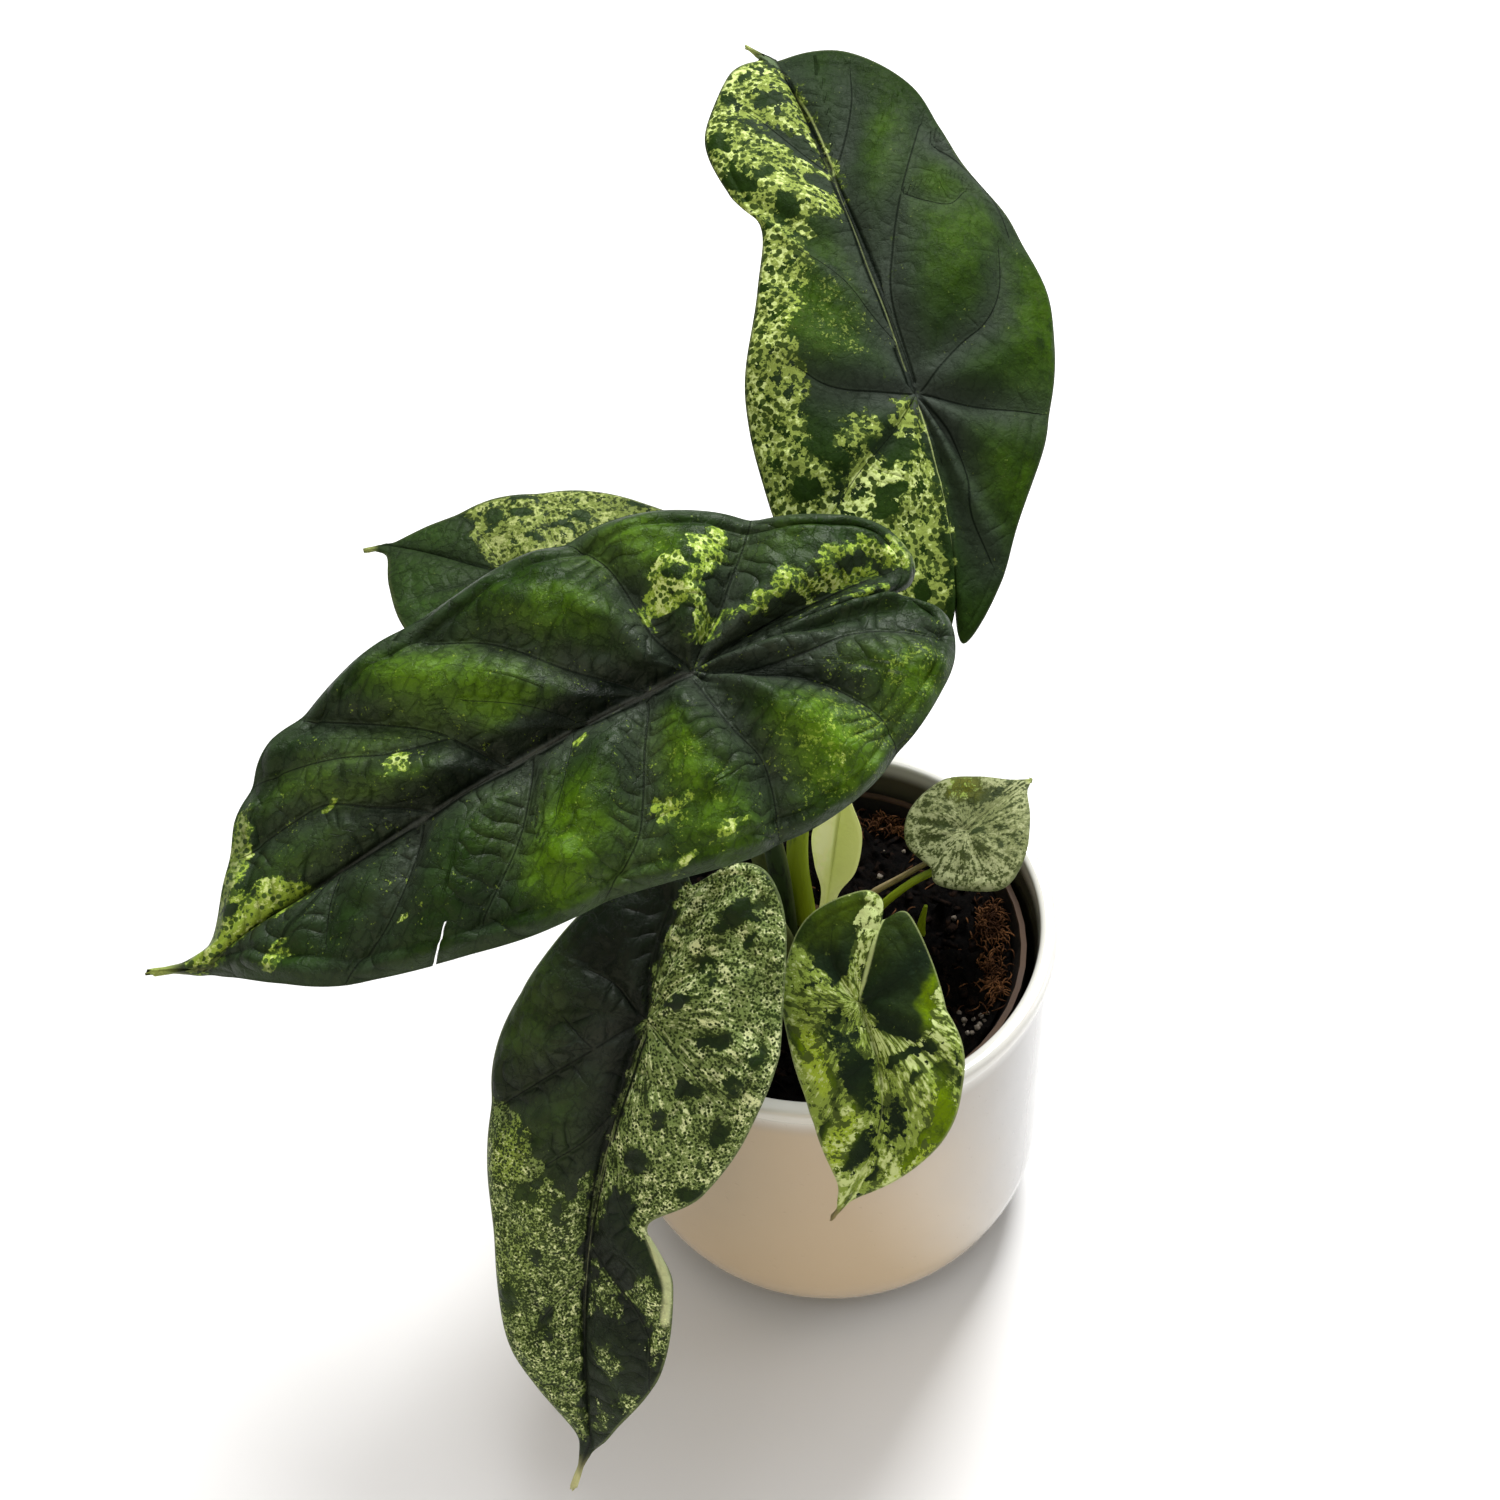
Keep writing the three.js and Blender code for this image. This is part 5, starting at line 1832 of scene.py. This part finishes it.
@dataclass
class Foliage:
    """All the leaves, each a blade on its own stalk."""

    leaves: tuple[tuple[LeafForm, Marking, BladeFinish, Weave, StalkFinish], ...] = (
        (TALL, TALL_MARKING, TALL_FINISH, FINE, OLIVE),
        (LARGE, LARGE_MARKING, LARGE_FINISH, FINE, DARK_GREEN),
        (LEFT, LEFT_MARKING, LEFT_FINISH, MEDIUM, SPECKLED),
        (LOW, LOW_MARKING, LOW_FINISH, FINE, SPECKLED),
        (FRONT, FRONT_MARKING, FRONT_FINISH, MEDIUM, SPECKLED),
        (SMALL, SMALL_MARKING, SMALL_FINISH, SMALL_WEAVE, OLIVE),
    )
    shoot: StalkForm = StalkForm(((26, 3, 84), (26, 3, 98), (26.5, 2.5, 104), (27, 2, 108)), 2, 0.5)
    strip: StalkForm = StalkForm(((12, 13, 92), (13.5, 13, 100), (21.5, 12, 108), (34, 9, 121)), 1.1, 0.6)

    def build(self) -> None:
        """Builds every blade and stalk, then the young leaf, the shoot and the pale strip."""
        for seed, (form, marking, finish, weave, stalk_finish) in enumerate(self.leaves):
            blade = Blade(form, marking, finish, weave, 10 * seed + 3)
            blade.build(f"{form.name}_skin", f"{form.name}_blade", Slot.BLADE)
            Stalk(form.stalk, stalk_finish, blade.head()).build(f"{form.name}_stem", f"{form.name}_stalk")
        young = Blade(YOUNG, YOUNG_MARKING, YOUNG_FINISH, SMALL_WEAVE, 77)
        young.build("young_leaf_skin", "young_leaf", Slot.CREAM)
        Stalk(self.shoot, OLIVE).build("shoot_tip", "shoot")
        Stalk(self.strip, PINKISH).build("small_leaf_sheath", None)


# Pots


@dataclass
class CoverPot:
    """The glazed pot: an upright wall that turns in to a flat foot, and a thick rounded lip."""

    rim_radius: float = 60.0
    mouth_radius: float = 55.5
    body_radius: float = 58.8
    lip_height: float = 4.0
    height: float = 110.0
    foot_radius: float = 37.0
    corner_height: float = 27.0
    wall: float = 4.2
    floor: float = 7.0
    sides: int = 192

    def profile(self) -> Array:
        """The outline as (radius, height): foot, quarter ellipse, wall, lip, mouth and floor."""
        inside = self.body_radius - self.wall
        inner_floor = self.foot_radius - self.wall / 2
        inner_corner = self.corner_height + self.floor
        under_lip = self.height - self.lip_height
        turn_in = arc(
            (self.foot_radius, self.corner_height),
            (self.body_radius - self.foot_radius, self.corner_height),
            -88,
            0,
            22,
        )
        lip_low = arc((self.body_radius - 0.2, under_lip + 0.6), (1.4, 1.2), -80, 0, 6)
        lip_top = arc((self.rim_radius - 1.5, self.height - 1.5), (1.5, 1.5), 0, 90, 8)
        mouth = arc((self.mouth_radius + 1.5, self.height - 1.5), (1.5, 1.5), 90, 180, 8)
        drop = arc(
            (inner_floor, inner_corner), (inside - inner_floor, inner_corner - self.floor), 0, -88, 16
        )
        return np.vstack(
            [
                [[0.0, 0.9], [self.foot_radius - 4.0, 0.9], [self.foot_radius - 3.2, 0.0]],
                [[self.foot_radius - 0.6, 0.0]],
                turn_in,
                [[self.body_radius, h] for h in np.linspace(self.corner_height + 6, under_lip - 2, 12)],
                lip_low,
                lip_top,
                mouth,
                [[inside, under_lip - 4.0]],
                [[inside, h] for h in np.linspace(under_lip - 10, inner_corner + 5, 8)],
                drop,
                [[0.0, self.floor]],
            ]
        )

    def build(self) -> None:
        """Turns the pot and glazes it."""
        made = turned(self.profile(), self.sides).make("cover_pot_glazed")
        dress(made, GlazeFinish().material(), "cover_pot")


@dataclass
class NurseryPot:
    """The black inner pot, whose solid already has its full form."""

    node: str = "nursery_pot"

    def build(self, frame: dict[str, Any]) -> None:
        """Gives the solid its plastic."""
        node = frame["nodes"][self.node]
        node.data.materials.clear()
        node.data.materials.append(PlasticFinish().material())
        LOG.info("%s keeps its solid", self.node)


# Soil and corm


@dataclass
class Potting:
    """The bed of soil, with a pit for the corm, and what lies on it."""

    corm: Place = (-6.0, 2.0)
    corm_radius: float = 12.5
    radius: float = 48.6
    foot_radius: float = 33.8
    base: float = 9.3
    edge: float = 95.5
    crown: float = 98.0
    lumps: float = 1.1
    pit: float = 71.0
    sides: int = 260
    seed: int = 5
    fibre: float = 0.24

    def top(self, x: Array, y: Array) -> Array:
        """Height of the bed: low lumps, a heap round the corm, and crumbs of three sizes."""
        away = np.hypot(x - self.corm[0], y - self.corm[1])
        heap = (self.crown - self.edge) * np.maximum(0.0, 1.0 - away / 40.0) ** 1.2
        lump = self.lumps * np.sin(0.31 * x + 1.3) * np.cos(0.27 * y - 0.6)
        lump = lump + 0.4 * self.lumps * np.sin(0.7 * x - 0.9 * y)
        crumbs = 0.75 * ripples(x, y, 5.0, self.seed, 24)
        crumbs = crumbs + 0.45 * np.abs(ripples(x, y, 2.2, self.seed + 1, 24))
        return self.edge + heap + lump + crumbs

    def bed(self) -> Shell:
        """The bed: pit floor, pit wall, top, outer wall and foot, as rings round the upright."""
        angle = 2.0 * np.pi * np.arange(self.sides) / self.sides
        share = np.linspace(0.0, 1.0, 96)[:, None]
        inner = self.corm_radius + CLEARANCE
        ring = inner + (self.radius - inner) * share
        x = self.corm[0] * (1.0 - share) + ring * np.cos(angle)
        y = self.corm[1] * (1.0 - share) + ring * np.sin(angle)
        top = np.stack([x, y, self.top(x, y)], -1)

        def level(centre: Place, radius: float, height: float) -> Array:
            """One level ring."""
            around = np.stack([np.cos(angle), np.sin(angle), np.zeros_like(angle)], -1)
            return around * radius + np.array([centre[0], centre[1], height])

        rings = [level(self.corm, 0.0, self.pit), level(self.corm, inner, self.pit), *top]
        rings += [level((0.0, 0.0), self.foot_radius, self.base), level((0.0, 0.0), 0.0, self.base)]
        points = np.concatenate(rings)
        kept, triangles = weld(points, grid_triangles(len(rings), self.sides, True)[:, ::-1])
        return Shell(points[kept], triangles)

    def scatter(self, rng: np.random.Generator, count: int, low: float, high: float) -> Array:
        """Random places on the bed, between two radii from its middle, clear of the corm."""
        radius = np.sqrt(rng.uniform(low**2, high**2, 4 * count))
        angle = rng.uniform(0.0, 2.0 * np.pi, 4 * count)
        x, y = radius * np.cos(angle), radius * np.sin(angle)
        clear = np.hypot(x - self.corm[0], y - self.corm[1]) > self.corm_radius + 3.0
        x, y = x[clear][:count], y[clear][:count]
        return np.stack([x, y, self.top(x, y)], -1)

    def chips(self, count: int = 420) -> Shell:
        """Bark chips: boxes with loose corners, each turned its own way and half sunk."""
        rng = np.random.default_rng(self.seed + 2)
        at = self.scatter(rng, count, 0.0, self.radius - 3.0)
        corner = np.array([[x, y, z] for z in (-1, 1) for y in (-1, 1) for x in (-1, 1)], float)
        size = rng.uniform((0.8, 0.5, 0.25), (2.9, 1.4, 0.7), (len(at), 3))
        loose = corner * size[:, None] * rng.uniform(0.6, 1.1, (len(at), 8, 3))
        heading, tilt = rng.uniform(0, 2 * np.pi, len(at)), rng.normal(0.0, 0.45, len(at))
        c, s, ct, st = np.cos(heading), np.sin(heading), np.cos(tilt), np.sin(tilt)
        x, y, z = loose[..., 0], loose[..., 1], loose[..., 2]
        x, z = x * ct[:, None] - z * st[:, None], x * st[:, None] + z * ct[:, None]
        x, y = x * c[:, None] - y * s[:, None], x * s[:, None] + y * c[:, None]
        points = np.stack([x, y, z], -1) + at[:, None] + np.array([0.0, 0.0, 0.1])
        box = np.array(
            [
                (0, 2, 3), (0, 3, 1), (4, 5, 7), (4, 7, 6), (0, 1, 5), (0, 5, 4),
                (2, 6, 7), (2, 7, 3), (0, 4, 6), (0, 6, 2), (1, 3, 7), (1, 7, 5),
            ]
        )
        return copies(points, box)

    def threads(self, at: Array, heading: Array, length: Array, lift: Array) -> Shell:
        """Fibres: four-sided tubes along arcs that rise and wander.

        Args:
            at: Foot of each fibre.
            heading: Direction of each, in radians.
            length: Length of each.
            lift: Height of the middle of each over its ends.

        Returns:
            All the fibres in one shell.
        """
        rng = np.random.default_rng(self.seed + 5)
        t = np.linspace(0.0, 1.0, 9)[None, :]
        curve = heading[:, None] + rng.normal(0.0, 0.8, (len(at), 1)) * t
        x = at[:, :1] + length[:, None] * t * np.cos(curve)
        y = at[:, 1:2] + length[:, None] * t * np.sin(curve)
        z = at[:, 2:] + lift[:, None] * np.sin(np.pi * t * 0.9)
        line = np.stack([x, y, z], -1)
        ahead = np.gradient(line, axis=1)
        ahead /= np.linalg.norm(ahead, axis=-1, keepdims=True)
        side = np.cross(ahead, [0.0, 0.0, 1.0])
        side /= np.maximum(np.linalg.norm(side, axis=-1, keepdims=True), 1e-6)
        over = np.cross(side, ahead)
        thick = self.fibre * np.sin(np.pi * np.clip(t, 0.04, 0.96))[..., None] ** 0.4
        corners = [line + thick * side, line + thick * over, line - thick * side, line - thick * over]
        points = np.stack(corners, 2).reshape(len(at), -1, 3)
        last = points.shape[1] - 4
        caps = np.array([(0, 3, 2), (0, 2, 1), (last, last + 1, last + 2), (last, last + 2, last + 3)])
        faces = np.concatenate([grid_triangles(t.shape[1], 4, True), caps])
        return copies(points, faces[:, ::-1])

    def coir(self) -> Shell:
        """A little loose coir on the bed, and tangled clumps of it against the inner pot."""
        rng = np.random.default_rng(self.seed + 4)
        loose = self.scatter(rng, 60, 0.0, self.radius - 5.0)
        tuft = np.concatenate(
            [
                rng.normal((45.0, 3.0), (1.6, 3.6), (260, 2)),
                rng.normal((43.0, -14.0), (1.6, 5.0), (150, 2)),
                rng.normal((22.0, 41.0), (6.0, 2.0), (150, 2)),
                rng.normal((35.0, 30.0), (4.0, 3.0), (90, 2)),
            ]
        )
        reach = np.hypot(tuft[:, 0], tuft[:, 1])
        tuft = tuft * np.minimum(1.0, (self.radius - 1.5) / reach)[:, None]
        tuft = np.column_stack([tuft, self.top(tuft[:, 0], tuft[:, 1])])
        at = np.concatenate([loose, tuft])
        turn = (0.0, 2.0 * np.pi)
        heading, length, lift = (
            np.concatenate([rng.uniform(*span, len(part)) for span, part in zip(pair, (loose, tuft))])
            for pair in ((turn, turn), ((2.0, 5.0), (1.5, 4.5)), ((0.2, 0.8), (0.3, 2.4)))
        )
        return self.threads(at, heading, length, lift)

    def grit(self, count: int = 22) -> Shell:
        """Pale grains: small rough balls, most of them near the front right of the bed."""
        rng = np.random.default_rng(self.seed + 6)
        at = self.scatter(rng, count, 20.0, self.radius - 2.0)
        at[: count // 2, :2] = rng.normal((38.0, -27.0), (4.0, 4.5), (count // 2, 2))
        reach = np.hypot(at[:, 0], at[:, 1])
        at[:, :2] *= np.minimum(1.0, (self.radius - 2.0) / reach)[:, None]
        at[:, 2] = self.top(at[:, 0], at[:, 1]) + 0.15
        rows, sides = 6, 7
        down = np.linspace(0.0, np.pi, rows)[:, None]
        around = 2.0 * np.pi * np.arange(sides) / sides
        ring = np.sin(down)
        ball = np.stack(np.broadcast_arrays(ring * np.cos(around), ring * np.sin(around), -np.cos(down)), -1)
        kept, one = weld(ball.reshape(-1, 3) * 1e3, grid_triangles(rows, sides, True))
        ball = ball.reshape(-1, 3)[kept]
        rough = rng.uniform(0.75, 1.15, (count, len(ball), 1)) * rng.uniform(0.35, 0.95, (count, 1, 1))
        return copies(ball[None] * rough + at[:, None], one)

    def build(self) -> None:
        """Lays the bed, then the chips, the coir and the pale grains."""
        soil = GroundFinish("potting_soil", (0.0006, 0.0004, 0.0003), (0.005, 0.0026, 0.0014), 0.9)
        bark = GroundFinish("bark", (0.001, 0.0006, 0.0004), (0.02, 0.009, 0.0045), 1.6, 0.85)
        fibre = GroundFinish("coir", (0.035, 0.014, 0.006), (0.26, 0.115, 0.045), 2.2, 0.8)
        pale = GroundFinish("grit", (0.16, 0.13, 0.1), (0.36, 0.32, 0.27), 0.7, 0.9)
        dress(self.bed().make("soil_bed"), soil.material(), "soil")
        dress(self.chips().make("bark_chips"), bark.material())
        dress(self.coir().make("coir_fibres"), fibre.material())
        dress(self.grit().make("pale_grit"), pale.material())


@dataclass
class Corm:
    """The corm: a ringed dome, mostly buried."""

    centre: Place = (-6.0, 2.0)
    radius: float = 12.5
    top: float = 101.5
    dome: float = 3.5
    depth: float = 30.0

    def build(self) -> None:
        """Turns the corm, with rings of leaf scars round it and a rough husk."""
        low = self.top - self.depth
        knots = np.array(
            [
                (0.0, low), (0.55 * self.radius, low + 2.0),
                (0.95 * self.radius, self.top - 0.62 * self.depth),
                (self.radius, self.top - 0.38 * self.depth), (self.radius, self.top - self.dome),
                (0.75 * self.radius, self.top - 0.35 * self.dome),
                (0.4 * self.radius, self.top - 0.05 * self.dome), (0.0, self.top),
            ]
        )
        profile = through(knots, np.linspace(0.0, len(knots) - 1.0, 90))
        profile[:, 0] = np.clip(profile[:, 0], 0.0, self.radius)
        profile[[0, -1], 0] = 0.0
        shell = turned(profile, 96, self.centre)
        x, y = shell.points[:, 0] - self.centre[0], shell.points[:, 1] - self.centre[1]
        ring = 0.22 * np.sin(2.2 * shell.points[:, 2] + 0.8 * np.sin(3.0 * np.arctan2(y, x)))
        reach = np.maximum(np.hypot(x, y), 1e-6)
        swell = 1.0 + (ring - 0.25) / np.maximum(reach, 4.0)
        shell.points[:, 0] = self.centre[0] + x * swell
        shell.points[:, 1] = self.centre[1] + y * swell
        husk = GroundFinish("corm_husk", (0.035, 0.022, 0.01), (0.16, 0.1, 0.045), 1.6, 0.8)
        dress(shell.make("corm_husk"), husk.material(), "corm")


# Camera, light and floor


@dataclass(frozen=True)
class Softbox:
    """One area lamp: where it hangs, where it looks, its size in metres, power and warmth."""

    name: str
    at: Point
    towards: Point
    size: Place
    power: float
    colour: Colour = (1.0, 1.0, 1.0)

    def build(self) -> None:
        """Hangs the lamp."""
        lamp = bpy.data.lights.new(self.name, "AREA")
        lamp.shape = "RECTANGLE"
        lamp.size, lamp.size_y = self.size
        lamp.energy = self.power
        lamp.color = self.colour
        made = bpy.data.objects.new(self.name, lamp)
        made.location = self.at
        aim = Vector(self.towards) - Vector(self.at)
        made.rotation_euler = aim.to_track_quat("-Z", "Y").to_euler()
        bpy.context.scene.collection.objects.link(made)


@dataclass
class Studio:
    """The view of the photograph, soft light and a pale floor."""

    camera_at: Point = (-14.9, -318.5, 511.7)
    down: float = 46.72
    tilt: float = -4.45
    lens: float = 48.0
    sensor: float = 36.0
    floor_size: float = 8.0
    floor_grey: float = 0.92
    sky: float = 0.22
    boxes: tuple[Softbox, ...] = (
        Softbox("key", (0.35, 0.75, 1.2), (0.0, 0.0, 0.15), (0.45, 0.45), 24.0),
        Softbox("ceiling", (-0.1, -0.2, 1.6), (0.0, 0.0, 0.0), (1.3, 1.3), 9.0),
        Softbox("side", (0.9, 0.1, 0.35), (0.0, 0.0, 0.07), (0.3, 0.5), 1.2, (0.90, 0.94, 1.0)),
        Softbox("fill", (-0.35, -0.85, 0.4), (0.0, 0.0, 0.06), (0.6, 0.6), 2.0, (1.0, 0.80, 0.56)),
    )

    def build(self) -> None:
        """Sets the camera, the lamps, the even sky and the floor."""
        scene = bpy.context.scene
        self.camera()
        for box in self.boxes:
            box.build()
        world = bpy.data.worlds.new("sky")
        world.use_nodes = True
        colour, strength = world.node_tree.nodes["Background"].inputs[:2]
        colour.default_value = (1.0, 1.0, 1.0, 1.0)
        strength.default_value = self.sky
        scene.world = world
        scene.view_settings.view_transform = "Standard"
        self.floor()

    def camera(self) -> None:
        """Places the camera from its place, its angle down and its tilt."""
        down, tilt = np.radians(self.down), np.radians(self.tilt)
        ahead = np.array([0.0, np.cos(down), -np.sin(down)])
        level_up = np.array([0.0, np.sin(down), np.cos(down)])
        level_right = np.array([1.0, 0.0, 0.0])
        right = level_right * np.cos(tilt) + level_up * np.sin(tilt)
        up = level_up * np.cos(tilt) - level_right * np.sin(tilt)
        data = bpy.data.cameras.new("view")
        data.lens = self.lens
        data.sensor_width = self.sensor
        made = bpy.data.objects.new("view", data)
        turn = Matrix([right, up, -ahead]).transposed().to_4x4()
        made.matrix_world = Matrix.Translation(Vector(self.camera_at) * MM) @ turn
        bpy.context.scene.collection.objects.link(made)
        bpy.context.scene.camera = made

    def floor(self) -> None:
        """Lays the pale floor."""
        half = self.floor_size / 2
        mesh = bpy.data.meshes.new("floor")
        mesh.from_pydata(
            [(-half, -half, 0), (half, -half, 0), (half, half, 0), (-half, half, 0)], [], [(0, 1, 2, 3)]
        )
        made = bpy.data.objects.new("floor", mesh)
        bpy.context.scene.collection.objects.link(made)
        pale = (self.floor_grey,) * 3 + (1.0,)
        mesh.materials.append(Shader("pale_floor").finish({"Base Color": pale, "Roughness": 0.9}))


def main() -> None:
    """Builds the plant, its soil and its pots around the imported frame."""
    logging.basicConfig(level=logging.INFO, format="%(message)s")
    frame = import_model()
    Studio().build()
    CoverPot().build()
    NurseryPot().build(frame)
    Potting().build()
    Corm().build()
    Foliage().build()


if __name__ == "__main__":
    main()
